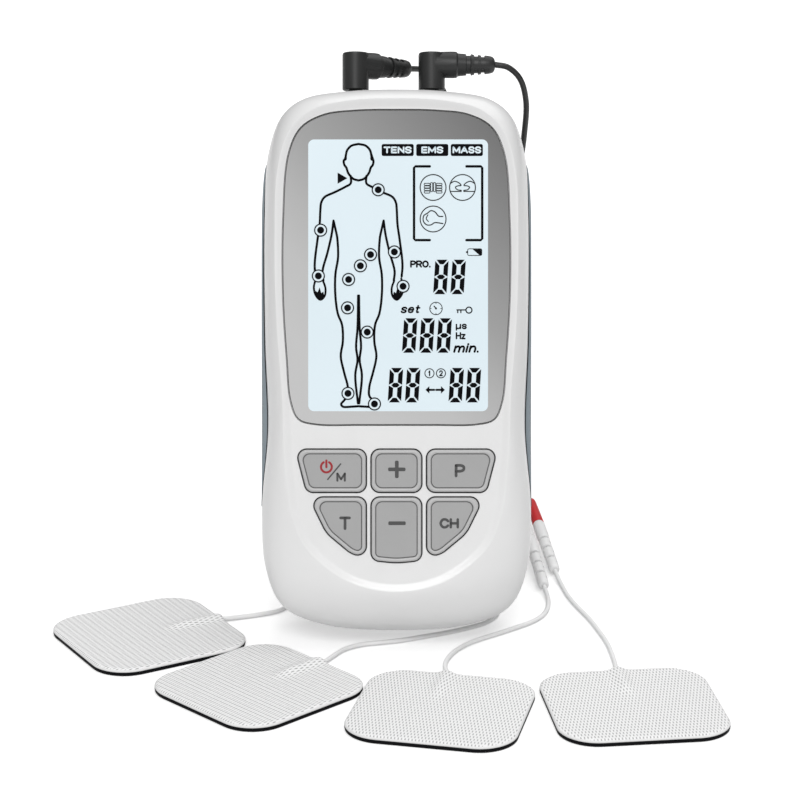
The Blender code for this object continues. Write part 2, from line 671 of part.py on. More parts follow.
def pad(table, looks, number, middle, degrees):
    """A square electrode pad: a cloth top over a layer of gel."""
    half = PAD_SIDE / 2
    square = rectangle(half, -half, half, radius=PAD_RADIUS)
    turn = math.radians(degrees)
    spun = square @ np.array([[math.cos(turn), math.sin(turn)], [-math.sin(turn), math.cos(turn)]])
    for name, low, high, look in (
        (f"pad_{number}_gel", 0.0, GEL_HEIGHT, looks["gel"]),
        (f"pad_{number}_cloth", *CLOTH_HEIGHTS, looks["cloth"]),
    ):
        rings = [[(x, y, z) for x, y in spun] for z in (low, high)]
        add(name, loft(name, rings), look, table, (*middle, 0))


def sockets_and_pins(table, looks):
    bored = [
        (0, 1.0), (6.0, 1.4), (12.0, 1.6), (SOCKET_LENGTH, 1.6), (SOCKET_LENGTH, 0.8),
        (SOCKET_LENGTH - 9.0, 0.8),
    ]
    tipped = [(0, 1.0), (2.0, 1.4), (PIN_LENGTH, 1.5), (PIN_LENGTH, 0.5), (PIN_LENGTH + 7.5, 0.5)]
    places = ((1, "a", 1), (1, "b", 2), (2, "a", 3), (2, "b", 4))
    for lead_number, letter, number in places:
        low, high = (Vector(point) for point in SOCKETS[number - 1])
        axis = (high - low).normalized()
        name = f"pad_{number}_socket"
        add(name, turned(name, low, high, bored), looks["white"], table)
        rear = high + axis * (TOUCH + PIN_LENGTH)
        name = f"lead_{lead_number}_pin_{letter}"
        look = looks["red"] if letter == "b" else looks["white"]
        add(name, turned(name, rear, high, tipped), look, table)


def main():
    clear_scene()
    looks = {
        "case": material("case_white", (0.80, 0.80, 0.80), 0.35),
        "grip": material("grip_blue_grey", (0.30, 0.36, 0.39), 0.55),
        "key": material("key_grey", (0.40, 0.40, 0.40), 0.45),
        "lens": material("lens_grey", (0.30, 0.30, 0.31), 0.12),
        "glass": material("screen_pale_blue", (0.78, 0.90, 0.95), 0.2),
        "mat": material("mat_rubber", (0.30, 0.30, 0.30), 0.7),
        "board": material("board_green", (0.02, 0.16, 0.08), 0.5),
        "black": material("black_plastic", (0.012, 0.012, 0.013), 0.45),
        "metal": material("spring_nickel", (0.62, 0.61, 0.58), 0.3, 1.0),
        "cell": material("cell_steel_sleeve", (0.10, 0.12, 0.14), 0.35, 0.6),
        "white": material("white_plastic", (0.82, 0.82, 0.82), 0.5),
        "red": material("red_plastic", (0.70, 0.03, 0.04), 0.4),
        "gel": material("gel_black", (0.015, 0.015, 0.017), 0.4),
        "cloth": material("pad_cloth", (0.85, 0.85, 0.85), 0.9),
    }
    table = empty("table_frame", location=(*SET_OFFSET, 0))
    unit = empty("unit_frame", table, (0, 0, FACE_HEIGHT), -LEAN)

    front_shell(unit, looks["case"])
    back_shell(unit, looks["case"])
    side_grip(unit, looks["grip"], -1, "side_grip_left")
    side_grip(unit, looks["grip"], 1, "side_grip_right")
    keys(unit, looks["key"])
    display_parts(unit, looks)
    keypad_mat(unit, looks["mat"])
    main_board(unit, looks)
    output_jacks(unit, looks["black"])
    battery_parts(unit, looks)
    battery_door(unit, looks["case"])
    stand(unit, looks["case"])
    screws(unit, looks["metal"])

    for number, (trunk_route, leg_routes) in enumerate(lead_routes(), 1):
        plug(unit, looks["black"], number)
        lead(table, looks, number, trunk_route, leg_routes)
    sockets_and_pins(table, looks)
    for number, (route, (middle, degrees)) in enumerate(zip(pad_wire_routes(), PADS), 1):
        tube(f"pad_{number}_wire", route, LEG_DIAMETER, looks["white"], table)
        pad(table, looks, number, middle, degrees)


main()
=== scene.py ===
"""The looks of the TENS unit, its leads and its pads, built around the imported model.

Sizes are in millimetres, as in the CAD source, and are scaled to metres when a mesh is made. Pieces of
the unit are drawn in the unit's own frame: X to the right, Y from the face into the case, Z up the face,
with the origin in the middle of the face. Pads and leads are drawn on the table, Z = 0.
"""

import json
import math

import bmesh
import bpy
import numpy as np
from mathutils import Matrix, Vector

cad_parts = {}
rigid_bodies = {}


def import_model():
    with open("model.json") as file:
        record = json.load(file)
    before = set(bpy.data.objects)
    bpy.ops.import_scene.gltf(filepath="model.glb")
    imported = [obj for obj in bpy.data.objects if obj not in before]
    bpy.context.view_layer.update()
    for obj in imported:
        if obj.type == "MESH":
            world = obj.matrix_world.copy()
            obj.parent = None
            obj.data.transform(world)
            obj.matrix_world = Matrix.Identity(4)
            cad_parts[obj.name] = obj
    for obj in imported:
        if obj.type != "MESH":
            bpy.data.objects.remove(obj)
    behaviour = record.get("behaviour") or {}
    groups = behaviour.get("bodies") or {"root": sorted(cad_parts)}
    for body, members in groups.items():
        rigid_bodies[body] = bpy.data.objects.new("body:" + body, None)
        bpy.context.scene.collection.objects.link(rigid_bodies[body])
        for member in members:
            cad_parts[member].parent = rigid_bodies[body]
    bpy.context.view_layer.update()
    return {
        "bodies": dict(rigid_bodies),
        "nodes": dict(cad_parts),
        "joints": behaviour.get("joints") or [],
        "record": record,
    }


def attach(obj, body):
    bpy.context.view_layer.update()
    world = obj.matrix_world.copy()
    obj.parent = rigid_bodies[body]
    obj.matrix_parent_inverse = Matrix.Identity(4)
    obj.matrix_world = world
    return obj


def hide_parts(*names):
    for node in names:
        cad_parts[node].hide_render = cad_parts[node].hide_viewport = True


MM = 0.001
FLOOR_HALF = 6.0  # in metres, because the floor is the world's and not the part's

CAMERA_PLACE = (5.41, -592.21, 244.34)
FOCAL_LENGTH = 117.0
SENSOR_WIDTH = 36.0

# The two frames that pieces are drawn in
LEAN = math.radians(17.0)
TABLE = Matrix.Translation(Vector((4.55, 10.07, 0.0)) * MM)
UNIT = TABLE @ Matrix.Translation(Vector((0, 0, 70.45)) * MM) @ Matrix.Rotation(-LEAN, 4, "X")

# The case
CASE_DEPTH = 28.5
PARTING_DEPTH = 13.0
PARTING_GAP = 0.3
WALL = 2.0
BACK_ROUND = 4.0
SHOULDER_DEPTH = 9.0
GRIP_REACH = 33.15  # from the middle of the case to the grip's outer edge
GRIP_SPAN = (48.0, -36.0)
GRIP_DEPTH = 14.2
GRIP_HALF_DEPTH = 5.0
GRIP_STEPS = 72
RIDGE_DEPTH = 0.4
PLATEAU_DEPTH = 0.9
DISH_WIDTH = 2.2
CREASE = 0.27  # how much of the slope outside the ridge is straight, which sharpens the ridge
FACE_WALL_DEPTH = 3.2
CASE_HALF = (
    (0, 66.05), (12, 65.6), (22.8, 63.7), (28.0, 59.6), (31.3, 50.5), (32.2, 35), (32.1, 5), (31.4, -17),
    (32.9, -37), (31.85, -51.5), (27.7, -60.3), (17.9, -64.7), (0, -66.05),
)
RIDGE_HALF = (
    (0, 63.0), (12, 62.4), (20.5, 60.2), (26, 55), (28.7, 46), (29.4, 30), (29.0, 10), (27.6, -9),
    (27.3, -20), (26.6, -30), (25.6, -37), (22.3, -45.3), (14.3, -52.4), (7.5, -55.3), (0, -56.3),
)
LENS_HALF = (
    (0, 60.2), (10, 60.0), (17.5, 59.0), (23.0, 55.9), (26.0, 49.5), (27.3, 33), (27.3, 15), (26.4, 0),
    (25.5, -10), (23.6, -14.4), (19.5, -15.6), (9, -15.75), (0, -15.75),
)
LENS_DEPTHS = (0.85, 1.9)
LENS_EDGE = 0.14
RECESS_DEPTH = 2.2
TOUCH = 0.3
EDGE = 0.22
SCREEN_CENTRE = (0.4, 20.3)
SCREEN_HALF = (21.7, 32.8)
SCREEN_RADIUS = 1.4

PRINT_THICKNESS = 0.03
PRINT_LIFT = 0.03  # between one layer of print and the next
FIGURE_MIDDLE = -9.14
FIGURE_LINE = 0.56
SPOT_RADII = (0.84, 1.44, 1.55)  # of a pad's dot, the ring round it and the ground behind them
DIGIT_HEIGHT = 8.42
DIGIT_WIDTH = 3.32
DIGIT_PITCH = 4.16
DIGIT_SLANT = 0.065
SEGMENT_THICKNESS = 1.2
SEGMENT_GAP = 0.08

# The keys
KEY_RADIUS = 2.0
KEY_CLEARANCE = 0.3
KEY_FACE_DEPTH = 0.44
KEY_BOTTOM_DEPTH = 2.9
KEY_STEPS = (  # how far in from the key's outline, and how deep
    (0.0, KEY_BOTTOM_DEPTH), (0.0, 0.8), (0.06, 0.58), (0.18, 0.4), (0.36, 0.31), (0.58, 0.31),
    (0.76, 0.37), (0.88, 0.47), (0.93, 0.68), (1.07, 0.68), (1.13, 0.5), (1.3, KEY_FACE_DEPTH),
)
KEY_GROOVE_STEPS = (7, 10)
KEY_MIDDLE_HALF = 6.0  # half the width of the middle column
KEY_SIDE_START = 7.4  # where the outer columns start
KEY_ROW_TOPS = (-21.8, -33.35)
KEY_ROW_BREAK = -32.0  # the foot of the upper row
KEY_INNER_ROUNDING = 0.6
KEYPAD_FOOT = -40.0  # the corners below this height keep their radius

# The rear case, with its jacks, plugs, stand, battery door and screws
JACK_DEPTH = 18.0
JACK_PLACES = (-10.15, 8.72)
PLUG_HEIGHT = 73.3
PLUG_YAW = (math.radians(31.8), 0.0)
PLUG_STEM = (  # distance from its tip, and radius
    (0, 1.2), (0.6, 1.7), (13.9, 1.7), (13.9, 3.1), (14.1, 3.28), (22.6, 3.28), (23.0, 3.17), (23.2, 2.9),
    (23.25, 2.5),
)
BOOT_SLOTS = ((8.6, 1.0), (10.6, 0.8), (12.3, 0.7))  # where each starts along the boot, and its width
BOOT_SLOT_DEPTH = 0.4
HINGE_HEIGHT = 14.0
HINGE_DEPTH = 26.7
STAND_HALF_WIDTH = 17.7
STAND_LENGTH = 79.0
STAND_THICKNESS = 2.4
STAND_OPEN = math.radians(32.75)
STAND_RECESS_DEPTH = 25.0
DOOR_HALF_WIDTH = 17.5
DOOR_SPAN = (-53.2, -3.0)
DOOR_DEPTHS = (23.8, 24.9)
DOOR_TRAVEL = 8.0
SCREW_PLACES = ((-20.5, 59.6), (20.5, 59.6), (-25.5, -40.0), (25.5, -40.0))
SCREW_PROFILE = (  # distance from its tip, and radius
    (0, 1.0), (0.6, 1.2), (17.6, 1.2), (17.6, 2.4), (17.75, 2.5), (19.0, 2.5), (19.4, 2.2), (19.6, 1.6),
)
SCREW_TIP_DEPTH = 7.9
SCREW_SEAT_DEPTH = 25.2
POST_RADIUS = 2.9
BED_HALF_WIDTH = 18.4  # the bed that the stand folds into
BED_FOOT = -72.0
TRAY_DEPTH = 10.7  # the front of the tray that holds the cells
TRAY_SPAN = (-54.0, -2.2)
TRACK_HALF_WIDTH = 17.8  # the door's track
TRACK_DEPTH = 23.5
TRACK_FLOOR_DEPTH = 21.8
TRACK_FLOOR_SPAN = (-63.0, -53.0)
BAY_HALF_WIDTH = 16.8
BAY_DEPTHS = (11.8, 24.0)
BAY_SPAN = (-51.7, -4.2)
STAND_WINDOW = (9.5, -62, -16)  # half width, foot and top
HINGE_PIN = (20.2, 1.0)  # half its length, and its radius
HINGE_HOLE = (20.8, 1.3)
JACK_HOLE_RADIUS = 3.8
HEAD_HOLE_RADIUS = 2.9
SHANK_HOLE_RADIUS = 1.5
RIB_HALF_WIDTH = 7.0  # the grip ribs on the stand and the door
RIB_HEIGHT = 0.9
PROBE = 1.0  # how far a cutter reaches past what it cuts

# Pads and leads
PAD_SIDE = 40.0
PAD_RADIUS = 9.0
GEL_TOP = 0.9
CLOTH_TOP = 1.7
PADS = (  # middle on the table, turn in degrees, and how far along its back edge the wire goes in
    ((-61.2, -4.6), -59.5, 0.0),
    ((-32.4, -36.2), -46.0, 0.0),
    ((10.3, -49.9), -12.5, -2.5),
    ((54.9, -47.6), 6.9, 0.0),
)
HUMP_START = 2.5  # from the middle of the pad
HUMP_RUN = 8.0  # the length over which it reaches its full height
HUMP_HEIGHT = 0.95
HUMP_WIDTH = 1.7
TRUNK_DIAMETER = 1.5
LEG_DIAMETER = 1.2
COIL_MIDDLES = ((-12.0, 95.0), (18.0, 95.0))
COIL_OUTER_TURN = 10.575
COIL_PITCH = 1.55
COIL_LOWEST_TURN = 0.8
COIL_LAYERS = 4
COIL_COLUMNS = 4
COIL_EXIT_ALONG = 6.95
TRUNK_RISE_START = 3.0  # how far along from the coil's middle the trunk starts to rise
TRUNK_HELD = 0.6  # the length of it that is inside the splitter
TRUNK_END_HEIGHT = 1.35
SPLITTER_LENGTH = 10.2
SPLITTER_RISE = 0.9
SOCKET_LENGTH = 26.0
PIN_LENGTH = 14.0
SLOT_DEPTH = 0.5  # of the bending slots in a socket's tail
SOCKETS = (  # the end where the pad's wire goes in, and the open end
    ((-26.0, 30.0, 1.75), (-26.0, 56.0, 1.75)),
    ((24.5, 30.0, 1.75), (23.1, 55.96, 1.75)),
    ((38.1, 26.9, 1.7), (35.69, 52.56, 5.11)),
    ((41.55, 38.3, 1.7), (38.6, 63.91, 5.1)),
)

# Each letter's width, its straight lines and its curves, in a box one unit high and one letter wide
SNAKE = (
    (1, 0.8), (0.8, 0.98), (0.2, 0.98), (0, 0.75), (0.2, 0.56), (0.8, 0.44), (1, 0.25), (0.8, 0.02),
    (0.2, 0.02), (0, 0.2),
)
EIGHTHS = [k * math.pi / 8 for k in range(17)]
ROUND = [(0.5 + 0.5 * math.sin(angle), 0.5 + 0.5 * math.cos(angle)) for angle in EIGHTHS]
BOWL = ((0, 1), (0.6, 1), (0.97, 0.88), (0.97, 0.6), (0.6, 0.46), (0, 0.46))
LETTER_GAP = 0.34
LETTERS = {
    "T": (0.85, [((0, 1), (1, 1)), ((0.5, 1), (0.5, 0))], []),
    "E": (0.72, [((1, 1), (0, 1), (0, 0), (1, 0)), ((0, 0.5), (0.9, 0.5))], []),
    "N": (0.85, [((0, 0), (0, 1), (1, 0), (1, 1))], []),
    "M": (1.05, [((0, 0), (0, 1), (0.5, 0.2), (1, 1), (1, 0))], []),
    "A": (1.0, [((0, 0), (0.5, 1), (1, 0)), ((0.2, 0.32), (0.8, 0.32))], []),
    "H": (0.85, [((0, 0), (0, 1)), ((1, 0), (1, 1)), ((0, 0.5), (1, 0.5))], []),
    "P": (0.8, [((0, 0), (0, 1))], [BOWL]),
    "R": (0.85, [((0, 0), (0, 1)), ((0.55, 0.46), (1, 0))], [BOWL]),
    "S": (0.8, [], [SNAKE]),
    "C": (0.9, [],
          [((1, 0.78), (0.75, 0.98), (0.3, 0.97), (0, 0.5), (0.3, 0.03), (0.75, 0.02), (1, 0.22))]),
    "O": (0.95, [], [ROUND]),
    "s": (0.6, [], [[(x, 0.7 * z) for x, z in SNAKE]]),
    "e": (0.66, [((0.03, 0.37), (0.97, 0.37))],
          [((0.97, 0.37), (0.85, 0.62), (0.5, 0.7), (0.12, 0.58), (0, 0.33), (0.15, 0.08), (0.55, 0),
            (0.92, 0.12))]),
    "t": (0.42, [((0, 0.68), (1, 0.68))],
          [((0.4, 0.97), (0.4, 0.5), (0.42, 0.12), (0.62, 0), (0.95, 0.04))]),
    "m": (1.05, [((0, 0), (0, 0.7))],
          [((0, 0.45), (0.16, 0.66), (0.38, 0.68), (0.5, 0.45), (0.5, 0)),
           ((0.5, 0.45), (0.66, 0.66), (0.88, 0.68), (1, 0.45), (1, 0))]),
    "n": (0.62, [((0, 0), (0, 0.7))], [((0, 0.42), (0.3, 0.67), (0.75, 0.67), (1, 0.42), (1, 0))]),
    "i": (0.05, [((0.5, 0), (0.5, 0.7)), ((0.5, 0.96), (0.5, 1))], []),
    "µ": (0.66, [((0, -0.28), (0, 0.7)), ((1, 0), (1, 0.7))],
          [((0, 0.25), (0.2, 0.03), (0.6, 0), (1, 0.25))]),
    "z": (0.6, [((0, 0.7), (1, 0.7), (0, 0), (1, 0))], []),
    ".": (0.05, [((0.5, 0), (0.5, 0.03))], []),
    "1": (0.35, [((0, 0.72), (0.8, 1), (0.8, 0))], []),
    "2": (0.66, [((0, 0), (1, 0))],
          [((0, 0.76), (0.25, 1), (0.8, 0.98), (1, 0.74), (0.8, 0.45), (0, 0))]),
}


# Materials


def grey(value):
    return (value,) * 3


def linear(brightness):
    """The linear value of a screen brightness from 0 to 1."""
    return brightness**2.2


def set_inputs(node, **values):
    """Sets inputs by name, with _ for each space."""
    for name, value in values.items():
        node.inputs[name.replace("_", " ")].default_value = value


def new_material(name, **values):
    """A material whose shader has the given inputs."""
    made = bpy.data.materials.new(name)
    made.use_nodes = True
    shader = made.node_tree.nodes["Principled BSDF"]
    set_inputs(shader, **values)
    return made, made.node_tree, shader


def noise(tree, size, detail=2.0):
    """Noise whose blobs are about size millimetres across."""
    coordinates = tree.nodes.new("ShaderNodeTexCoord")
    made = tree.nodes.new("ShaderNodeTexNoise")
    set_inputs(made, Scale=1.0 / (size * MM), Detail=detail)
    tree.links.new(coordinates.outputs["Object"], made.inputs["Vector"])
    return made.outputs["Fac"]


def remap(tree, value, low, high, from_low=0.3, from_high=0.7):
    """The value moved from one range to another, and kept inside it."""
    made = tree.nodes.new("ShaderNodeMapRange")
    set_inputs(made, From_Min=from_low, From_Max=from_high, To_Min=low, To_Max=high)
    tree.links.new(value, made.inputs["Value"])
    return made.outputs["Result"]


def ramp(tree, value, stops):
    """A colour ramp. Stops are (position, colour)."""
    made = tree.nodes.new("ShaderNodeValToRGB")
    elements = made.color_ramp.elements
    while len(elements) < len(stops):
        elements.new(0.5)
    for element, (position, colour) in zip(elements, stops):
        element.position = position
        element.color = (*colour, 1.0)
    tree.links.new(value, made.inputs["Fac"])
    return made.outputs["Color"]


def scaled(colour, factor):
    return tuple(min(1.0, channel * factor) for channel in colour)


def bump(tree, shader, height, depth):
    """Adds a relief, depth millimetres high, to the shader's normal."""
    made = tree.nodes.new("ShaderNodeBump")
    set_inputs(made, Distance=depth * MM)
    tree.links.new(height, made.inputs["Height"])
    for earlier in shader.inputs["Normal"].links:
        tree.links.new(earlier.from_socket, made.inputs["Normal"])
    tree.links.new(made.outputs["Normal"], shader.inputs["Normal"])


def moulded(name, colour, roughness, grain=0.01, grain_size=0.22, mottle=0.02, metallic=0.0, coat=0.0):
    """Moulded or drawn material: a fine grain, and slight variation in colour and in gloss."""
    made, tree, shader = new_material(name, Metallic=metallic, Coat_Weight=coat, Coat_Roughness=0.08)
    cloud = noise(tree, 9.0, 3.0)
    shades = ((0.3, scaled(colour, 1 - mottle)), (0.7, scaled(colour, 1 + mottle)))
    tree.links.new(ramp(tree, cloud, shades), shader.inputs["Base Color"])
    tree.links.new(remap(tree, cloud, roughness - 0.03, roughness + 0.03), shader.inputs["Roughness"])
    bump(tree, shader, noise(tree, grain_size), grain)
    return made


def printed_ink(name, colour):
    """Display segments: flat, dark and without a shine of their own."""
    made = moulded(name, colour, 0.5, grain=0.001)
    set_inputs(made.node_tree.nodes["Principled BSDF"], Specular_IOR_Level=0.04)
    return made


def along(tree, weights):
    """The object coordinate along a direction, in millimetres."""
    coordinates = tree.nodes.new("ShaderNodeTexCoord")
    product = tree.nodes.new("ShaderNodeVectorMath")
    product.operation = "DOT_PRODUCT"
    product.inputs[1].default_value = Vector(weights) / MM
    tree.links.new(coordinates.outputs["Object"], product.inputs[0])
    return product.outputs["Value"]


def lens_print_and_painted_reflection():
    """Grey print behind a glossy lens, with a painted reflection that makes it lighter towards the lower
    left and darker towards the upper right.
    """
    made, tree, shader = new_material("lens_print_and_painted_reflection", Roughness=0.22, Coat_Weight=0.6, Coat_Roughness=0.04)
    # painted reflection: the grey runs from light at the lower left to dark at the upper right
    place = remap(tree, along(tree, (1, 0, 1)), 0.0, 1.0, -20.0, 85.0)
    levels = ((0.0, 0.79), (0.19, 0.765), (0.33, 0.71), (0.48, 0.63), (0.95, 0.41))
    stops = [(position, grey(linear(level) * 0.98)) for position, level in levels]
    tree.links.new(ramp(tree, place, stops), shader.inputs["Base Color"])
    bump(tree, shader, noise(tree, 14.0), 0.003)
    return made


def lcd_glass():
    """The lit ground of the display: pale blue and slightly uneven."""
    made, tree, shader = new_material("lcd_glass", Roughness=0.25, Coat_Weight=0.5, Coat_Roughness=0.05)
    set_inputs(shader, Emission_Color=(0.80, 0.93, 1.0, 1.0), Emission_Strength=0.135)
    colour = ramp(tree, noise(tree, 30.0, 1.0), ((0.3, (0.67, 0.77, 0.82)), (0.7, (0.69, 0.79, 0.84))))
    tree.links.new(colour, shader.inputs["Base Color"])
    return made


def calculated(tree, operation, *values):
    """What a math operation makes of one or two values."""
    made = tree.nodes.new("ShaderNodeMath")
    made.operation = operation
    for place, value in enumerate(values):
        tree.links.new(value, made.inputs[place])
    return made.outputs["Value"]


def lattice(tree, wide, deep):
    """Rows of pressed dots that run along both diagonals, as a height from -1 to 1."""
    waves = [along(tree, (2 * math.pi / wide, 0, 0)), along(tree, (0, 2 * math.pi / deep, 0))]
    return calculated(tree, "MULTIPLY", *[calculated(tree, "SINE", wave) for wave in waves])


def pad_cloth():
    """Bonded white fibre cloth with a pressed lattice of dots."""
    made, tree, shader = new_material("pad_cloth", Roughness=0.9, Sheen_Weight=0.15)
    dots = lattice(tree, 0.8, 2.9)
    fibres = noise(tree, 0.35, 5.0)
    height = calculated(tree, "ADD", dots, fibres)
    shades = ((0.0, grey(0.34)), (0.25, grey(0.52)), (0.42, grey(0.87)), (1.0, grey(0.94)))
    place = remap(tree, height, 0.0, 1.0, -0.6, 1.5)
    tree.links.new(ramp(tree, place, shades), shader.inputs["Base Color"])
    bump(tree, shader, dots, 0.05)
    bump(tree, shader, noise(tree, 0.16, 5.0), 0.03)
    return made


def cell_sleeve():
    """A printed steel sleeve: dark, with a lighter band at its upper end."""
    made, tree, shader = new_material("cell_sleeve", Roughness=0.3, Metallic=0.6)
    place = remap(tree, along(tree, (0, -math.sin(LEAN), math.cos(LEAN))), 0.0, 1.0, 0.0, 120.0)
    stops = ((0.0, (0.03, 0.035, 0.045)), (0.44, (0.04, 0.045, 0.055)), (0.46, (0.60, 0.42, 0.16)))
    tree.links.new(ramp(tree, place, stops), shader.inputs["Base Color"])
    bump(tree, shader, noise(tree, 0.4), 0.004)
    return made


def circuit_board():
    """Green solder resist with faint tracks under it."""
    made, tree, shader = new_material("circuit_board", Roughness=0.35)
    tracks = tree.nodes.new("ShaderNodeTexBrick")
    coordinates = tree.nodes.new("ShaderNodeTexCoord")
    set_inputs(tracks, Scale=400.0, Mortar=(0.03, 0.20, 0.09, 1.0))
    set_inputs(tracks, Color1=(0.012, 0.11, 0.05, 1.0), Color2=(0.010, 0.13, 0.06, 1.0))
    tree.links.new(coordinates.outputs["Object"], tracks.inputs["Vector"])
    tree.links.new(tracks.outputs["Color"], shader.inputs["Base Color"])
    bump(tree, shader, tracks.outputs["Fac"], 0.03)
    return made


def all_materials():
    """Every look: the moulded ones by name, colour, roughness and grain, and then the special ones."""
    fine_gloss = {"grain": 0.006, "grain_size": 0.16, "mottle": 0.008, "coat": 0.25}
    moulding = {
        "case": ("case_white", grey(0.82), 0.34, fine_gloss),
        "grip": ("grip_blue_grey", (0.24, 0.285, 0.315), 0.5, {"grain": 0.03, "grain_size": 0.3}),
        "key_band": ("key_band", grey(0.50), 0.42, {"grain": 0.008}),
        "key_face": ("key_face", grey(0.385), 0.5, {"grain": 0.012}),
        # painted shade: the dark colour of the groove on each key
        "key_groove": ("key_groove", grey(0.16), 0.6, {}),
        "legend": ("legend_grey", grey(0.06), 0.55, {}),
        "legend_red": ("legend_red", (0.32, 0.008, 0.014), 0.5, {}),
        "lens_edge": ("lens_edge", grey(0.07), 0.3, {}),
        "black": ("black_plastic", (0.009, 0.0095, 0.0095), 0.42, {"grain": 0.02, "grain_size": 0.25}),
        "cord_black": ("cord_black", grey(0.008), 0.38, {}),
        "cord_white": ("cord_white", grey(0.89), 0.45, {"grain": 0.008}),
        "white": ("white_plastic", grey(0.90), 0.45, {}),
        # painted shade: near black, for the bottoms of the socket slots and the strip in the gap beside each
        # grip
        "slot_dark": ("slot_dark", grey(0.05), 0.6, {}),
        "red": ("red_plastic", (0.62, 0.010, 0.014), 0.4, {}),
        "cloth_rim": ("cloth_rim", grey(0.80), 0.85, {"grain": 0.02, "grain_size": 0.3}),
        "nickel": ("spring_nickel", (0.62, 0.61, 0.58), 0.3, {"metallic": 1.0}),
        "screw": ("screw_zinc", (0.45, 0.45, 0.44), 0.35, {"metallic": 1.0}),
        "mat": ("mat_rubber", grey(0.07), 0.7, {"grain": 0.02}),
        "panel": ("light_panel", grey(0.85), 0.3, {}),
    }
    looks = {key: moulded(*basics, **finish) for key, (*basics, finish) in moulding.items()}
    looks["ink"] = printed_ink("lcd_ink", (0.002, 0.002, 0.003))
    looks["ink_grey"] = printed_ink("lcd_ink_grey", grey(0.02))
    looks["gel"] = printed_ink("gel_black", (0.006, 0.006, 0.007))
    looks["lens"] = lens_print_and_painted_reflection()
    looks["lcd"] = lcd_glass()
    looks["cloth"] = pad_cloth()
    looks["cell"] = cell_sleeve()
    looks["board"] = circuit_board()
    return looks


# Outlines, as in the CAD source


def through(points, closed, steps=12):
    """A smooth line through the points, finely divided (centripetal Catmull-Rom)."""
    knots = [np.array(point, float) for point in points]
    count = len(knots)
    line = []
    for i in range(count if closed else count - 1):
        if closed:
            before, start, end, after = (knots[(i + k) % count] for k in (-1, 0, 1, 2))
        else:
            start, end = knots[i], knots[i + 1]
            before = knots[i - 1] if i else 2 * start - end
            after = knots[i + 2] if i + 2 < count else 2 * end - start
        pairs = ((before, start), (start, end), (end, after))
        spans = [math.sqrt(np.linalg.norm(b - a)) for a, b in pairs]
        lead_in = (start - before) / spans[0] - (end - before) / (spans[0] + spans[1])
        lead_out = (after - end) / spans[2] - (after - start) / (spans[1] + spans[2])
        pull_in = (end - start) + spans[1] * lead_in
        pull_out = (end - start) + spans[1] * lead_out
        for t in np.arange(steps) / steps:
            line.append(
                (2 * t**3 - 3 * t**2 + 1) * start
                + (t**3 - 2 * t**2 + t) * pull_in
                + (3 * t**2 - 2 * t**3) * end
                + (t**3 - t**2) * pull_out
            )
    line.append(line[0] if closed else knots[-1])
    return np.array(line)


def evenly(line, count, closed):
    """Points at equal distances along a finely divided line."""
    lengths = np.linalg.norm(np.diff(line, axis=0), axis=1)
    travelled = np.concatenate([[0.0], np.cumsum(lengths)])
    places = np.linspace(0.0, travelled[-1], count + 1 if closed else count)
    if closed:
        places = places[:-1]
    return np.stack([np.interp(places, travelled, axis) for axis in line.T], axis=1)


def mirrored_loop(half, count=240):
    """The closed outline whose right half is given, clockwise from its top middle."""
    left = [(-x, z) for x, z in reversed(half[1:-1])]
    return evenly(through(list(half) + left, closed=True, steps=24), count, closed=True)


def inset(loop, distance):
    """The loop moved inwards, or outwards where the distance is negative. The loop runs clockwise."""
    ahead = np.roll(loop, -1, axis=0) - np.roll(loop, 1, axis=0)
    ahead /= np.linalg.norm(ahead, axis=1)[:, None]
    inwards = np.stack([ahead[:, 1], -ahead[:, 0]], axis=1)
    return loop + distance * inwards


def between(first, second, share):
    return first * (1 - share) + second * share


def rounded(corners, steps=9):
    """An outline with each corner (x, z, radius) turned into an arc."""
    points = []
    count = len(corners)
    for i, (x, z, radius) in enumerate(corners):
        here = np.array((x, z), float)
        back = np.array(corners[i - 1][:2]) - here
        ahead = np.array(corners[(i + 1) % count][:2]) - here
        back /= np.linalg.norm(back)
        ahead /= np.linalg.norm(ahead)
        half_angle = math.acos(np.clip(back @ ahead, -1, 1)) / 2
        run = radius / math.tan(half_angle)
        middle = here + (back + ahead) / np.linalg.norm(back + ahead) * radius / math.sin(half_angle)
        first, last = here + back * run - middle, here + ahead * run - middle
        turn = math.pi - 2 * half_angle
        for step in range(steps + 1):
            t = step / steps
            weights = math.sin((1 - t) * turn), math.sin(t * turn)
            points.append(middle + (first * weights[0] + last * weights[1]) / math.sin(turn))
    return np.array(points)


def rectangle(half_width, bottom, top, radius=0.6, x=0.0, steps=6):
    """A clockwise rounded rectangle."""
    left, right = x - half_width, x + half_width
    corners = [(left, top, radius), (right, top, radius), (right, bottom, radius), (left, bottom, radius)]
    return rounded(corners, steps)


def mirrored(corners):
    return [(-x, z, radius) for x, z, radius in reversed(corners)]


def circle(radius, count=24, x=0.0, z=0.0):
    angles = np.arange(count) * 2 * math.pi / count
    return np.stack([x + radius * np.sin(angles), z + radius * np.cos(angles)], axis=1)


# Meshes and pieces


def mesh_of(shape, name):
    bmesh.ops.recalc_face_normals(shape, faces=shape.faces)
    made = bpy.data.meshes.new(name)
    shape.to_mesh(made)
    shape.free()
    return made


def skin(shape, rings, slots):
    """Faces between rings of as many (x, y, z) points each. slots gives each step's material."""
    rows = [[shape.verts.new(Vector(point) * MM) for point in ring] for ring in rings]
    for low, high, slot in zip(rows, rows[1:], slots):
        for i in range(len(low)):
            j = (i + 1) % len(low)
            shape.faces.new((low[i], low[j], high[j], high[i])).material_index = slot
    return rows


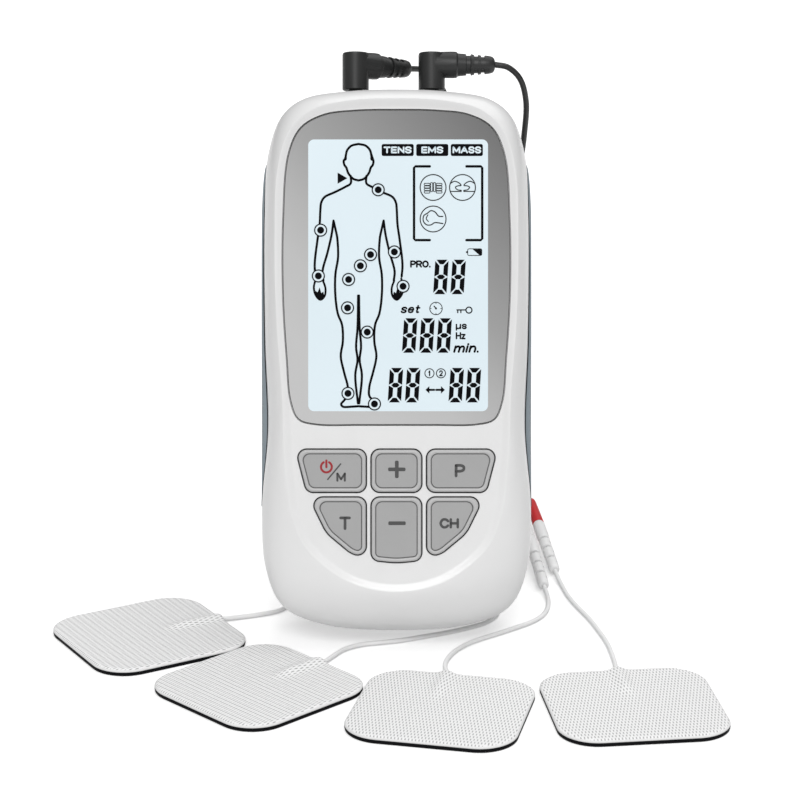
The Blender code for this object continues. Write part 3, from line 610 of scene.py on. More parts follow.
def loft(name, rings, capped=True, slots=None):
    """A mesh with a skin over the rings and, where it is capped, a face at either end."""
    shape = bmesh.new()
    slots = slots or [0] * (len(rings) - 1)
    rows = skin(shape, rings, slots)
    if capped:
        shape.faces.new(list(reversed(rows[0])))
        shape.faces.new(rows[-1]).material_index = slots[-1]
    return mesh_of(shape, name)


def at_depth(loop, depth):
    return [(x, depth, z) for x, z in loop]


def stacked(name, levels, **options):
    """A loft over (outline, depth) levels."""
    return loft(name, [at_depth(outline, depth) for outline, depth in levels], **options)


def plate(name, loop, front, back):
    return stacked(name, [(loop, front), (loop, back)])


def block(name, half_width, depths, heights):
    """A bar across the middle of the case, with rounded corners."""
    radius = min(0.6, (heights[1] - heights[0]) / 4)
    return plate(name, rectangle(half_width, *heights, radius=radius), *depths)


def turned(name, start, end, profile, sides=32, slots=None, shape_at=None):
    """A turned shape. Its profile holds (distance from start, radius) along the line from start to end.
    shape_at, where given, returns the radius for a (distance, radius, angle)."""
    start, end = Vector(start), Vector(end)
    axis = (end - start).normalized()
    across = axis.cross(Vector((0, 0, 1))) if abs(axis.z) < 0.9 else Vector((1, 0, 0))
    across.normalize()
    over = across.cross(axis)
    rings = []
    for distance, radius in profile:
        middle = start + axis * distance
        ring = []
        for i in range(sides):
            a = 2 * math.pi * i / sides
            r = shape_at(distance, radius, a) if shape_at else radius
            ring.append(middle + (across * math.cos(a) + over * math.sin(a)) * r)
        rings.append(ring)
    return loft(name, rings, slots=slots)


def rod(name, start, end, radius, sides=32):
    length = (Vector(end) - Vector(start)).length
    return turned(name, start, end, [(0, radius), (length, radius)], sides)


def together(meshes):
    """One mesh that holds several closed shapes."""
    whole = bmesh.new()
    for mesh in meshes:
        whole.from_mesh(mesh)
    made = bpy.data.meshes.new(meshes[0].name)
    whole.to_mesh(made)
    whole.free()
    return made


def settled(piece):
    """Swaps a piece's mesh for what its modifiers make of it."""
    graph = bpy.context.evaluated_depsgraph_get()
    graph.update()
    finished = bpy.data.meshes.new_from_object(piece.evaluated_get(graph))
    piece.modifiers.clear()
    piece.data = finished


def placed(name, data, frame=None):
    """A new object in the scene."""
    made = bpy.data.objects.new(name, data)
    bpy.context.scene.collection.objects.link(made)
    if frame is not None:
        made.matrix_world = frame
    return made


def combine(piece, mesh, operation):
    """Joins a mesh to a piece, or cuts it out. Both are drawn in the same frame."""
    helper = placed("helper", mesh, piece.matrix_world)
    boolean = piece.modifiers.new("Boolean", "BOOLEAN")
    boolean.operation = operation
    boolean.object = helper
    settled(piece)
    bpy.data.objects.remove(helper)


def cut(piece, *meshes):
    combine(piece, together(meshes), "DIFFERENCE")


def join(piece, *meshes):
    for mesh in meshes:
        combine(piece, mesh, "UNION")


def smooth(piece, degrees=35):
    """Shades a piece smooth, apart from edges that turn by more than the given angle."""
    piece.data.shade_smooth()
    piece.data.set_sharp_from_angle(angle=math.radians(degrees))
    normals = piece.modifiers.new("Normals", "WEIGHTED_NORMAL")
    normals.keep_sharp = True


def softened(piece, width):
    """Rounds a piece's edges."""
    bevel = piece.modifiers.new("Bevel", "BEVEL")
    bevel.width = width * MM
    bevel.segments = 3
    bevel.limit_method = "ANGLE"
    bevel.angle_limit = math.radians(40)


def piece_of(name, mesh, looks, frame=UNIT):
    """Links a piece that is drawn in the given frame. looks is a material or a list of them."""
    made = placed(name, mesh, frame)
    for look in looks if isinstance(looks, (list, tuple)) else [looks]:
        mesh.materials.append(look)
    bpy.context.view_layer.update()
    return made


def settle(piece, body="root", replaces=()):
    """Hangs a finished piece on its CAD body, and hides the CAD nodes that it replaces."""
    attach(piece, body)
    if replaces:
        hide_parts(*replaces)
    return piece


# The camera, the lights and the floor


def camera():
    """At the photograph's viewing angle: square to the leaning face, 17 degrees above the table."""
    data = bpy.data.cameras.new("camera")
    data.lens, data.sensor_width = FOCAL_LENGTH, SENSOR_WIDTH
    data.clip_start, data.clip_end = 0.01, 50.0
    made = placed("camera", data)
    made.location = Vector(CAMERA_PLACE) * MM
    made.rotation_euler.x = math.radians(90.0) - LEAN
    bpy.context.scene.camera = made


def soft_sun(name, direction, strength, spread):
    """A broad, soft light from the given direction."""
    data = bpy.data.lights.new(name, "SUN")
    data.energy = strength
    data.angle = math.radians(spread)
    made = placed(name, data)
    made.rotation_euler = Vector(direction).to_track_quat("Z", "Y").to_euler()


def stage():
    """A plain pale floor under soft studio light."""
    floor = bpy.data.meshes.new("floor")
    corners = [(x * FLOOR_HALF, y * FLOOR_HALF, 0) for x, y in ((-1, -1), (1, -1), (1, 1), (-1, 1))]
    floor.from_pydata(corners, [], [(0, 1, 2, 3)])
    pale = moulded("floor_pale", grey(0.93), 0.8, grain=0.001, mottle=0.002)
    shader = pale.node_tree.nodes["Principled BSDF"]
    set_inputs(shader, Emission_Color=(1.0, 1.0, 1.0, 1.0), Emission_Strength=0.35)
    floor = piece_of("floor", floor, pale, Matrix.Identity(4))
    floor.visible_diffuse = False  # the studio keeps light from bouncing up under the case
    light_tent()
    soft_sun("key", (-0.08, -0.88, 0.78), 1.25, 30)
    soft_sun("back", (0.35, 0.45, 1.2), 1.1, 60)
    bpy.context.scene.view_settings.view_transform = "Standard"


def light_tent():
    """Even light from a white tent, brightest from the viewer's side."""
    world = bpy.data.worlds.new("studio")
    bpy.context.scene.world = world
    world.use_nodes = True
    tree = world.node_tree
    view = tree.nodes.new("ShaderNodeTexCoord")
    towards = tree.nodes.new("ShaderNodeVectorMath")
    towards.operation = "DOT_PRODUCT"
    towards.inputs[1].default_value = (0.0, -math.cos(LEAN), math.sin(LEAN))
    tree.links.new(view.outputs["Generated"], towards.inputs[0])
    place = remap(tree, towards.outputs["Value"], 0.0, 1.0, -1.0, 1.0)
    levels = ((0.0, 0.22), (0.45, 0.28), (0.6, 0.42), (0.8, 0.58), (0.95, 0.6), (1.0, 0.5))
    shades = ramp(tree, place, [(position, grey(level)) for position, level in levels])
    tree.links.new(shades, tree.nodes["Background"].inputs["Color"])


# The case


def key_outlines():
    """The six keys: a slanted pair beside plus, and a round-bottomed pair beside minus."""
    r, half, side, foot = KEY_RADIUS, KEY_MIDDLE_HALF, -KEY_SIDE_START, KEY_ROW_BREAK
    upper, lower = KEY_ROW_TOPS
    power = [(-24.25, upper, r), (side, upper, r), (side, foot, r), (-21.6, foot, r)]
    plus = [(-half, upper, r), (half, upper, r), (half, foot, r), (-half, foot, r)]
    time = [(-21.0, lower, r), (side, lower, r), (side, -48.05, r), (-11.2, -46.55, 5), (-16.8, -41.9, 8)]
    minus = [(-half, lower, r), (half, lower, r), (half, -48.45, r), (0, -49.05, 20), (-half, -48.45, r)]
    return {
        "key_power_mode": power,
        "key_plus": plus,
        "key_program": mirrored(power),
        "key_time": time,
        "key_minus": minus,
        "key_channel": mirrored(time),
    }


def eased(t):
    """From 0 to 1, starting and ending level."""
    t = np.clip(t, 0.0, 1.0)
    return t * t * (3 - 2 * t)


def front_levels():
    """The front skin: a straight side, a slope that rounds up to the ridge, and a shallow dish."""
    case = mirrored_loop(CASE_HALF)
    ridge = mirrored_loop(RIDGE_HALF)
    levels = [(inset(case, EDGE), PARTING_DEPTH), (case, PARTING_DEPTH - EDGE), (case, SHOULDER_DEPTH)]
    for degrees in np.linspace(84, 6, 14):
        share = math.sin(math.radians(degrees))
        fall = (1 - CREASE) * (1 - math.sqrt(1 - share**2)) + CREASE * share
        levels.append((between(ridge, case, share), between(RIDGE_DEPTH, SHOULDER_DEPTH, fall)))
    for share in np.linspace(0, 1, 9):
        depth = between(RIDGE_DEPTH, PLATEAU_DEPTH, eased(share))
        levels.append((inset(ridge, DISH_WIDTH * share), depth))
    return levels


def front_shell(looks):
    """The front half of the case: a hollow tray with a recess for the lens, a window and six keyholes."""
    shell = piece_of("front_cover", stacked("front_cover", front_levels()), looks["case"])
    inner_case, inner_ridge = (inset(mirrored_loop(half), WALL) for half in (CASE_HALF, RIDGE_HALF))
    hollow = [
        (inner_case, PARTING_DEPTH + PROBE),
        (inner_case, SHOULDER_DEPTH + 0.5),
        (between(inner_ridge, inner_case, 0.7), 5.2),
        (inner_ridge, FACE_WALL_DEPTH),
    ]
    cut(shell, stacked("hollow", hollow))
    recess = inset(mirrored_loop(LENS_HALF), -TOUCH)
    cut(shell, plate("recess", recess, -PROBE, RECESS_DEPTH))
    openings = [plate("window", screen_outline(), RECESS_DEPTH - PROBE, FACE_WALL_DEPTH + PROBE)]
    chamfer = 0.1
    for corners in key_outlines().values():
        hole = inset(rounded(corners), -KEY_CLEARANCE)
        wide = inset(hole, -chamfer)
        levels = [(wide, -PROBE), (wide, PLATEAU_DEPTH)]
        levels += [(hole, PLATEAU_DEPTH + chamfer), (hole, FACE_WALL_DEPTH + PROBE)]
        openings.append(stacked("keyhole", levels))
    cut(shell, *openings)
    smooth(shell, 30)
    settle(shell, replaces=["front_shell"])


def well(name, loop, floor, mouth):
    """A cutter for a recess whose rim is chamfered."""
    wide = inset(loop, -EDGE)
    return stacked(name, [(loop, floor), (loop, mouth - EDGE), (wide, mouth), (wide, mouth + 3 * PROBE)])


def back_cover():
    """The outside of the rear half: straight sides and a rounded edge round the back."""
    case = mirrored_loop(CASE_HALF)
    parting = PARTING_DEPTH + PARTING_GAP
    levels = [(inset(case, EDGE), parting), (case, parting + EDGE)]
    for angle in np.linspace(0, math.pi / 2, 10):
        depth = CASE_DEPTH - BACK_ROUND * (1 - math.sin(angle))
        levels.append((inset(case, BACK_ROUND * (1 - math.cos(angle))), depth))
    return stacked("back_cover", levels)


def back_shell(looks):
    """The rear half: a tray for the cells, posts, the door's track and the stand's bed and hinge."""
    shell = piece_of("back_cover", back_cover(), looks["case"])
    floor_depth = STAND_RECESS_DEPTH - WALL
    inner = inset(mirrored_loop(CASE_HALF), WALL)
    cut(shell, plate("hollow", inner, PARTING_DEPTH - PROBE, floor_depth))
    skin_depth = STAND_RECESS_DEPTH - 0.2
    tray = block("tray", BED_HALF_WIDTH, (TRAY_DEPTH, skin_depth), TRAY_SPAN)
    floor = block("track_floor", BED_HALF_WIDTH, (TRACK_FLOOR_DEPTH, skin_depth), TRACK_FLOOR_SPAN)
    join(shell, tray, floor)
    for x, z in SCREW_PLACES:
        post = rod("post", (x, PARTING_DEPTH + PARTING_GAP, z), (x, floor_depth + PROBE, z), POST_RADIUS)
        join(shell, post)
    bed = rectangle(BED_HALF_WIDTH, BED_FOOT, HINGE_HEIGHT + 3, radius=0.6)
    cut(shell, well("stand_bed", bed, STAND_RECESS_DEPTH, CASE_DEPTH))
    track_span = (DOOR_SPAN[0] - DOOR_TRAVEL - TOUCH, DOOR_SPAN[1] + TOUCH)
    cut(shell, block("track", TRACK_HALF_WIDTH, (TRACK_DEPTH, STAND_RECESS_DEPTH + 0.5), track_span))
    cut(shell, block("cell_bay", BAY_HALF_WIDTH, BAY_DEPTHS, BAY_SPAN))
    half, radius = HINGE_HOLE
    hinge = rod("hinge", (-half, HINGE_DEPTH, HINGE_HEIGHT), (half, HINGE_DEPTH, HINGE_HEIGHT), radius)
    jacks = [rod("jack", (x, JACK_DEPTH, 60), (x, JACK_DEPTH, 70), JACK_HOLE_RADIUS) for x in JACK_PLACES]
    cut(shell, hinge, *jacks)
    heads = [circle(HEAD_HOLE_RADIUS, 32, x, z) for x, z in SCREW_PLACES]
    cut(shell, *[well("head", head, SCREW_SEAT_DEPTH, CASE_DEPTH) for head in heads])
    start = PARTING_DEPTH - PROBE
    cut(shell, *[rod("shank", (x, start, z), (x, 26, z), SHANK_HOLE_RADIUS, 20) for x, z in SCREW_PLACES])
    smooth(shell, 30)
    settle(shell, replaces=["back_shell"])


def jack_rail(looks):
    """A low pad on the top of the case, between the two plugs."""
    outline = rounded([(-5.6, 66.7, 0.5), (5.0, 66.7, 0.5), (5.8, 65.4, 0.3), (-6.4, 65.4, 0.3)])
    rail = piece_of("jack_rail", plate("jack_rail", outline, 14.2, 22.0), looks["case"])
    softened(rail, 0.2)
    smooth(rail)
    settle(rail)


def grip_rings(side, start, grows):
    """A strip along the side of the case. One that grows reaches out to the grip's outer edge."""
    case = mirrored_loop(CASE_HALF, 480)
    right = case[: len(case) // 2]
    arc = [math.radians(angle) for angle in np.linspace(-90, 90, 13)]
    bow = [(0.3 + 0.7 * math.cos(a) ** 0.5, math.sin(a)) for a in arc[1:-1]]
    section = [(0.0, -1.0), *bow, (0.0, 1.0)]
    rings = []
    for share in np.linspace(0.0, 1.0, GRIP_STEPS):
        z = between(*GRIP_SPAN, share)
        swell = math.sin(math.pi * (0.02 + 0.96 * share))
        surface = np.interp(-z, -right[:, 1], right[:, 0]) + start
        half_depth = GRIP_HALF_DEPTH * swell**0.5
        thickness = TOUCH + 0.02
        if grows:
            thickness = max(0.08, GRIP_REACH - surface) * min(1.0, 0.02 + 7.0 * share) ** 0.6
        else:
            half_depth -= 0.5
        ring = [(surface + thickness * out, GRIP_DEPTH + half_depth * deep) for out, deep in section]
        rings.append([(side * x, depth, z) for x, depth in ring])
    return rings


def side_grip(looks, side, name):
    """A thin strip along the side of the case, pointed at both ends, and a near-black strip under it as
    painted shade in the gap between strip and case.
    """
    strip, painted_shade_seat = f"{name}_strip", f"{name}_seat"
    strip = piece_of(strip, loft(strip, grip_rings(side, TOUCH, True)), looks["grip"])
    # painted shade: a near-black strip fills the gap where the grip meets the case
    painted_shade_seat = piece_of(painted_shade_seat, loft(painted_shade_seat, grip_rings(side, 0.0, False)), looks["slot_dark"])
    for made, nodes in ((strip, [name]), (painted_shade_seat, ())):
        smooth(made, 50)
        settle(made, replaces=nodes)


def keys(looks):
    """Six keys: each has a raised rounded band, a fine groove and a slightly sunk face."""
    groove, face = KEY_GROOVE_STEPS
    slots = [0] * groove + [1] * (face - groove) + [2] * (len(KEY_STEPS) - 1 - face)
    # painted shade: the groove between band and face is painted dark
    finish = [looks["key_band"], looks["key_groove"], looks["key_face"]]
    for name, corners in key_outlines().items():
        levels = []
        for step, depth in KEY_STEPS:
            rounder = KEY_INNER_ROUNDING * min(1.0, step)
            softer = [(x, z, radius + rounder * (z > KEYPAD_FOOT)) for x, z, radius in corners]
            levels.append((inset(rounded(softer, 12), step), depth))
        made = piece_of(f"{name}_cap", stacked(f"{name}_cap", levels, slots=slots), finish)
        smooth(made, 28)
        settle(made, body=name, replaces=[name])


def screen_outline():
    x, z = SCREEN_CENTRE
    half_width, half_height = SCREEN_HALF
    return rectangle(half_width, z - half_height, z + half_height, SCREEN_RADIUS, x, 10)


def display_lens(looks):
    """The clear front plate: a printed border round the window that shows the display."""
    front, back = LENS_DEPTHS
    loop = mirrored_loop(LENS_HALF)
    rings = [
        at_depth(loop, back),
        at_depth(loop, front + LENS_EDGE),
        at_depth(inset(loop, LENS_EDGE * 0.35), front + LENS_EDGE * 0.3),
        at_depth(inset(loop, LENS_EDGE), front),
    ]
    shape = bmesh.new()
    rows = skin(shape, rings, [2] * (len(rings) - 1))
    shape.faces.new(list(reversed(rows[0])))
    window = [shape.verts.new(Vector(point) * MM) for point in at_depth(screen_outline(), front)]
    edges = []
    for line in (rows[-1], window):
        for i, point in enumerate(line):
            ahead = line[(i + 1) % len(line)]
            edges.append(shape.edges.get((point, ahead)) or shape.edges.new((point, ahead)))
    filled = bmesh.ops.triangle_fill(shape, use_beauty=False, edges=edges, normal=(0, -1, 0))["geom"]
    inside = set(window)
    faces = [part for part in filled if isinstance(part, bmesh.types.BMFace)]
    over = [face for face in faces if inside.issuperset(face.verts)]
    bmesh.ops.delete(shape, geom=over, context="FACES_ONLY")
    shape.faces.new(window).material_index = 1
    finish = [looks["lens"], looks["lcd"], looks["lens_edge"]]
    made = piece_of("display_front", mesh_of(shape, "display_front"), finish)
    smooth(made, 20)
    settle(made, replaces=["display_lens"])


def grip_ribs(heights, surface, proud):
    """Low bars across a surface at the given depth, for a finger to push or pull."""
    depths = (surface - 0.2, surface + proud)
    return [block("rib", RIB_HALF_WIDTH, depths, (z, z + RIB_HEIGHT)) for z in heights]


def stand_bow():
    """The stand's plate, folded: round at the hinge and at the foot, with eased sides."""
    half = STAND_THICKNESS / 2
    foot_middle = half - STAND_LENGTH
    turn = np.linspace(0, math.pi, 17)
    section = [(-half * math.cos(a), half * math.sin(a)) for a in turn]
    section += [(half * math.cos(a), foot_middle - half * math.sin(a)) for a in turn]
    edges = ((0.35, 0.0), (0.1, 0.1), (0.0, 0.35))  # how much thinner, and how far in from the side
    rings = []
    for side, steps in ((-1, edges), (1, edges[::-1])):
        for thinner, inwards in steps:
            x = side * (STAND_HALF_WIDTH - inwards)
            rings.append([(x, y * (1 - thinner / half), z) for y, z in section])
    return loft("stand_leg", rings)


def stand(looks):
    """The fold-out leg: a flat bow with a finger window, two hinge pins and three ribs at its foot."""
    half = STAND_THICKNESS / 2
    hinge = Matrix.Translation(Vector((0, HINGE_DEPTH, HINGE_HEIGHT)) * MM)
    hinge = hinge @ Matrix.Rotation(STAND_OPEN, 4, "X")
    made = piece_of("stand_leg", stand_bow(), looks["case"], UNIT @ hinge)
    window = rectangle(*STAND_WINDOW, radius=3.0, steps=10)
    wide = inset(window, -EDGE)
    levels = [(wide, -3 * PROBE), (wide, -half), (window, EDGE - half)]
    levels += [(window, half - EDGE), (wide, half), (wide, 3 * PROBE)]
    cut(made, stacked("window", levels))
    reach, radius = HINGE_PIN
    join(made, rod("pins", (-reach, 0, 0), (reach, 0, 0), radius, 24))
    join(made, together(grip_ribs((-71.0, -68.8, -66.6), half, 0.3)))
    smooth(made, 30)
    settle(made, body="stand", replaces=["stand"])


def battery_door(looks):
    """The sliding door: a plate with three ribs and an arrow that points the way it opens."""
    low, high = DOOR_SPAN
    front, back = DOOR_DEPTHS
    outline = rectangle(DOOR_HALF_WIDTH, low, high, radius=0.6)
    small = inset(outline, EDGE)
    levels = [(small, front), (outline, front + EDGE), (outline, back - EDGE), (small, back)]
    made = piece_of("battery_cover", stacked("battery_cover", levels), looks["case"])
    ribs = grip_ribs([low + height for height in (6.0, 8.2, 10.4)], back, 0.25)
    arrow = rounded([(-2.2, low + 18.2, 0.2), (2.2, low + 18.2, 0.2), (0, low + 14.4, 0.2)])
    join(made, together(ribs + [plate("arrow", arrow, back - 0.2, back + 0.2)]))
    smooth(made, 30)
    settle(made, body="battery_door", replaces=["battery_door"])


def screws(looks):
    """Four screws with a cross recess, driven in from the back."""
    arm, reach = 0.3, 1.5
    for number, (x, z) in enumerate(SCREW_PLACES, 1):
        name = f"screw_{number}"
        mesh = turned(name, (x, SCREW_TIP_DEPTH, z), (x, 30, z), SCREW_PROFILE, 32)
        made = piece_of(name, mesh, looks["screw"])
        for wide, high in ((arm, reach), (reach, arm)):
            cut(made, plate("slot", rectangle(wide, z - high, z + high, radius=0.15, x=x), 26.6, 28))
        smooth(made, 30)
        settle(made, replaces=[f"case_screw_{number}"])


# Print on the display and on the keys


def flat(loop):
    """A filled shape, as a thin solid."""
    return plate("shape", np.array(loop, float), 0.0, -PRINT_THICKNESS)


def band(loop, width):
    """A closed line of the given width, as a thin solid."""
    loop = np.array(loop, float)
    outer, inner = inset(loop, -width / 2), inset(loop, width / 2)
    top = -PRINT_THICKNESS
    order = [(outer, 0.0), (outer, top), (inner, top), (inner, 0.0), (outer, 0.0)]
    return stacked("band", order, capped=False)


def stroke(points, width, curved=True):
    """An open line of the given width with round ends, as a thin solid."""
    line = np.array(points, float)
    if curved and len(line) > 2:
        line = through(points, closed=False, steps=5)
    ahead = np.gradient(line, axis=0)
    ahead /= np.linalg.norm(ahead, axis=1)[:, None]
    side = np.stack([-ahead[:, 1], ahead[:, 0]], axis=1) * width / 2
    turn = np.linspace(0, math.pi, 7)[1:-1]
    cap_end = [line[-1] + side[-1] * math.cos(a) + ahead[-1] * math.sin(a) * width / 2 for a in turn]
    cap_start = [line[0] - side[0] * math.cos(a) - ahead[0] * math.sin(a) * width / 2 for a in turn]
    return flat(list(line + side) + cap_end + list((line - side)[::-1]) + cap_start)


def lettering(text, box, weight, lean=0.0):
    """Lettering that fills a (left, right, bottom, top) box, drawn with lines of one width."""
    left, right, bottom, top = box
    widths = [LETTERS[letter][0] for letter in text]
    scale = (right - left - weight) / (sum(widths) + LETTER_GAP * (len(text) - 1))
    height = top - bottom - weight
    start, foot = left + weight / 2, bottom + weight / 2
    shapes = []
    for letter, width in zip(text, widths):
        _, straight, curved = LETTERS[letter]
        lines = [pair for line in straight for pair in zip(line, line[1:])] + list(curved)
        for line in lines:
            placed_line = [(start + (x * width + lean * z) * scale, foot + z * height) for x, z in line]
            shapes.append(stroke(placed_line, weight))
        start += (width + LETTER_GAP) * scale
    return shapes


def disc(x, z, radius):
    return flat(circle(radius, 28, x, z))


def ring(x, z, radius, width):
    return band(circle(radius, 36, x, z), width)


def printed(name, shapes, look, depth, body="root"):
    """Thin solids on a surface of the face at the given depth."""
    frame = UNIT @ Matrix.Translation(Vector((0, depth, 0)) * MM)
    made = piece_of(name, together(shapes), look, frame)
    return settle(made, body=body)


def segments():
    """The outlines of a figure's seven segments, upright."""
    height, width, thick, gap = DIGIT_HEIGHT, DIGIT_WIDTH, SEGMENT_THICKNESS, SEGMENT_GAP
    middle, half = height / 2, thick / 2
    right, edge = width - thick, 0.3
    low, high = middle - half, middle + half
    shapes = [
        [(edge, 0), (width - edge, 0), (right, thick), (thick, thick)],
        [
            (half, middle), (thick, low), (right, low), (width - half, middle), (right, high), (thick, high),
        ],
        [(thick, height - thick), (right, height - thick), (width - edge, height), (edge, height)],
    ]
    for foot, top, foot_in, top_in in (
        (edge, middle - gap / 2, thick, half),
        (middle + gap / 2, height - edge, half, thick),
    ):
        shapes.append([(0, foot), (thick, foot + foot_in), (thick, top - top_in), (0, top)])
        shapes.append([(width, foot), (width, top), (right, top - top_in), (right, foot + foot_in)])
    return shapes


def digit(left, bottom):
    """A seven-segment figure with every segment on, leaning to the right."""
    made = []
    for shape in segments():
        points = np.array(shape, float)
        centre = points.mean(axis=0)
        points = centre + (points - centre) * (1 - 1.2 * SEGMENT_GAP / np.ptp(points, axis=0))
        made.append(flat([(left + x + DIGIT_SLANT * z, bottom + z) for x, z in points]))
    return made


def display_numbers():
    """The display's four numbers, each given by its lower left corner and its count of figures."""
    numbers = ((8.8, 15.7, 2), (1.27, 1.57, 3), (-2.17, -10.42, 2), (12.5, -10.42, 2))
    shapes = []
    for left, bottom, count in numbers:
        for place in range(count):
            shapes += digit(left + place * DIGIT_PITCH, bottom)
    return shapes


def display_words():
    """The display's words. Each has its box, the weight of its strokes and its lean."""
    words = (
        ("PRO.", (3.3, 8.3, 22.15, 23.9), 0.42, 0.0),
        ("set", (0.95, 5.5, 11.15, 13.2), 0.42, 0.25),
        ("µs", (14.3, 17.0, 7.3, 9.0), 0.36, 0.0),
        ("Hz", (14.3, 16.7, 4.85, 6.6), 0.38, 0.0),
        ("min.", (13.7, 19.9, 1.6, 3.95), 0.5, 0.25),
        ("1", (7.7, 8.2, -4.05, -2.65), 0.3, 0.0),
        ("2", (10.3, 11.2, -4.05, -2.65), 0.3, 0.0),
    )
    return [shape for text, box, weight, lean in words for shape in lettering(text, box, weight, lean)]


def mode_labels():
    """The three mode names, in light letters on dark boxes."""
    boxes = [flat(rectangle(3.87, 49.1, 52.0, radius=0.45, x=x)) for x in (0.3, 8.65, 16.99)]
    names = (("TENS", -3.1, 3.65), ("EMS", 6.0, 11.3), ("MASS", 13.55, 20.45))
    words = [shape for name, *ends in names for shape in lettering(name, (*ends, 49.75, 51.4), 0.4)]
    return boxes, words


def programme_frame():
    """The two square brackets round the programme icons."""
    shapes = []
    low, high, cut_off = 28.8, 46.6, 0.3
    for corner, arm in ((4.25, 8.05), (20.7, 16.9)):
        lean = math.copysign(cut_off, arm - corner)
        half = [(arm, high), (corner + lean, high), (corner, high - cut_off)]
        half += [(corner, low + cut_off), (corner + lean, low), (arm, low)]
        shapes.append(stroke(half, 0.6, curved=False))
    return shapes


def battery_symbol():
    left, right, low, high = 17.2, 20.6, 25.1, 26.7
    case = [(left, high, 0.3), (right, high, 0.3), (right, low, 0.3), (left, low, 0.3)]
    charge = [(18.4, 26.6), (20.5, 26.6), (20.5, 25.2), (20.0, 25.2)]
    return [band(rounded(case, 4), 0.18), flat(charge), disc(16.98, 25.9, 0.22)]


def clock_symbol():
    x, z = 9.55, 12.3
    shapes = [ring(x, z, 1.5, 0.2), stroke([(9.1, 12.85), (x, z)], 0.28), disc(x, z, 0.25)]
    for turn in range(4):
        angle = turn * math.pi / 2
        mark = [(x + out * math.sin(angle), z + out * math.cos(angle)) for out in (1.15, 1.4)]
        shapes.append(stroke(mark, 0.16))
    return shapes


def lock_symbol():
    """The lock, drawn as a key: a bow, a shaft and two teeth."""
    shapes = [ring(17.5, 11.9, 0.72, 0.3), stroke([(14.6, 11.95), (16.7, 11.95)], 0.3)]
    return shapes + [stroke([(x, 11.9), (x, 11.3)], 0.3) for x in (14.8, 15.55)]


def channel_symbols():
    """A ring for each channel's number, and a double arrow between the two strengths."""
    shapes = [ring(x, -3.35, 1.1, 0.22) for x in (7.97, 10.75)]
    z, half = -7.35, 0.9
    for tip, tail in ((7.0, 9.1), (11.7, 9.6)):
        head = tip + math.copysign(0.95, tail - tip)
        shapes.append(stroke([(head, z), (tail, z)], 0.5))
        shapes.append(flat([(tip, z), (head, z + half), (head, z - half)]))
    return shapes


def programme_icons():
    """Three plain round icons: two fists, two palms and one palm."""
    left, right, upper, lower = 8.85, 15.95, 41.5, 33.9
    shapes = [ring(x, z, 3.12, 0.26) for x, z in ((left, upper), (right, upper), (left, lower))]
    palm = [
        (2.9, 42.5), (1.9, 43.0), (0.7, 42.5), (0.35, 42.0), (1.1, 41.9), (1.7, 41.6), (1.3, 41.0),
        (0.3, 40.8),
    ]
    for side in (-1, 1):
        fist = left + side * 1.45
        for step in range(4):
            finger = rectangle(0.7, 40.15 + 0.62 * step, 40.65 + 0.62 * step, radius=0.22, x=fist)
            shapes.append(band(finger, 0.19))
        shapes.append(band(rectangle(0.25, 40.5, 42.7, radius=0.22, x=fist - side * 1.1), 0.19))
        shapes.append(stroke([(right + side * x, z) for x, z in palm], 0.26))
        shapes.append(stroke([(right + side * x, 40.55) for x in (0.3, 2.9)], 0.24))
    hand = [
        (11.2, 34.5), (10.2, 34.6), (9.3, 35.6), (8.3, 35.9), (7.5, 35.3), (6.6, 34.7), (6.5, 33.4),
        (7.3, 32.5), (8.4, 32.5), (9.2, 33.0), (11.2, 32.8),
    ]
    return shapes + [stroke(hand, 0.28), stroke([(7.6, 34.9), (7.2, 34.0), (7.7, 33.3)], 0.24)]


def figure_half():
    """The lines of the figure's right half: head, outer arm, inner arm, body and leg, inner leg."""
    return (
        [
            (0, 52.0), (1.7, 51.6), (2.75, 50.5), (3.1, 49.0), (3.15, 48.3), (3.55, 48.1), (3.45, 47.0),
            (2.95, 46.3), (2.5, 45.0), (1.3, 43.6), (0, 43.2),
        ],
        [
            (1.9, 44.3), (1.9, 42.5), (3.3, 41.6), (5.9, 40.3), (8.2, 39.2), (9.0, 37.9), (9.2, 36.4),
            (9.4, 32.6), (9.9, 29.0), (10.6, 22.9), (10.4, 20.0),
        ],
        [(6.05, 33.5), (6.5, 30.2), (7.5, 25.8), (8.7, 21.3), (8.5, 19.0)],
        [
            (6.0, 33.3), (5.3, 30.2), (5.15, 29.4), (4.95, 24.7), (5.6, 20.5), (5.6, 15.4), (5.0, 11.0),
            (4.0, 8.4), (3.8, 4.3), (4.3, 0.8), (3.5, -3.1), (2.6, -6.6), (2.6, -8.8), (3.5, -9.9),
            (4.2, -10.8), (3.8, -11.4), (1.6, -11.4), (0, -11.3),
        ],
        [(0.1, 15.4), (0.25, 7.6), (0.6, 3.0), (0.25, -0.1), (0.8, -3.8), (0.15, -10.6)],
    )


def figure_outline():
    """A plain standing figure, seen from behind, that shows where pads can go."""
    hand = [(10.3, 19.5), (10.8, 17.4), (10.3, 15.4), (9.2, 14.4), (8.2, 15.3), (8.0, 17.2), (8.6, 19.0)]
    fingers = [
        (10.6, 16.7), (9.9, 16.2), (9.4, 17.4), (9.0, 16.0), (8.5, 16.4), (8.3, 15.2), (9.2, 14.4),
        (10.3, 15.4),
    ]

    def on_side(side, line):
        return [(FIGURE_MIDDLE + side * x, z) for x, z in line]

    shapes = []
    for side in (-1, 1):
        shapes += [stroke(on_side(side, line), FIGURE_LINE) for line in figure_half()]
        shapes.append(stroke(on_side(side, hand), 0.5))
        shapes.append(flat(on_side(side, fingers[::side])))
    shapes.append(flat([(-14.2, 45.1), (-11.85, 43.75), (-14.2, 42.4)]))
    return shapes


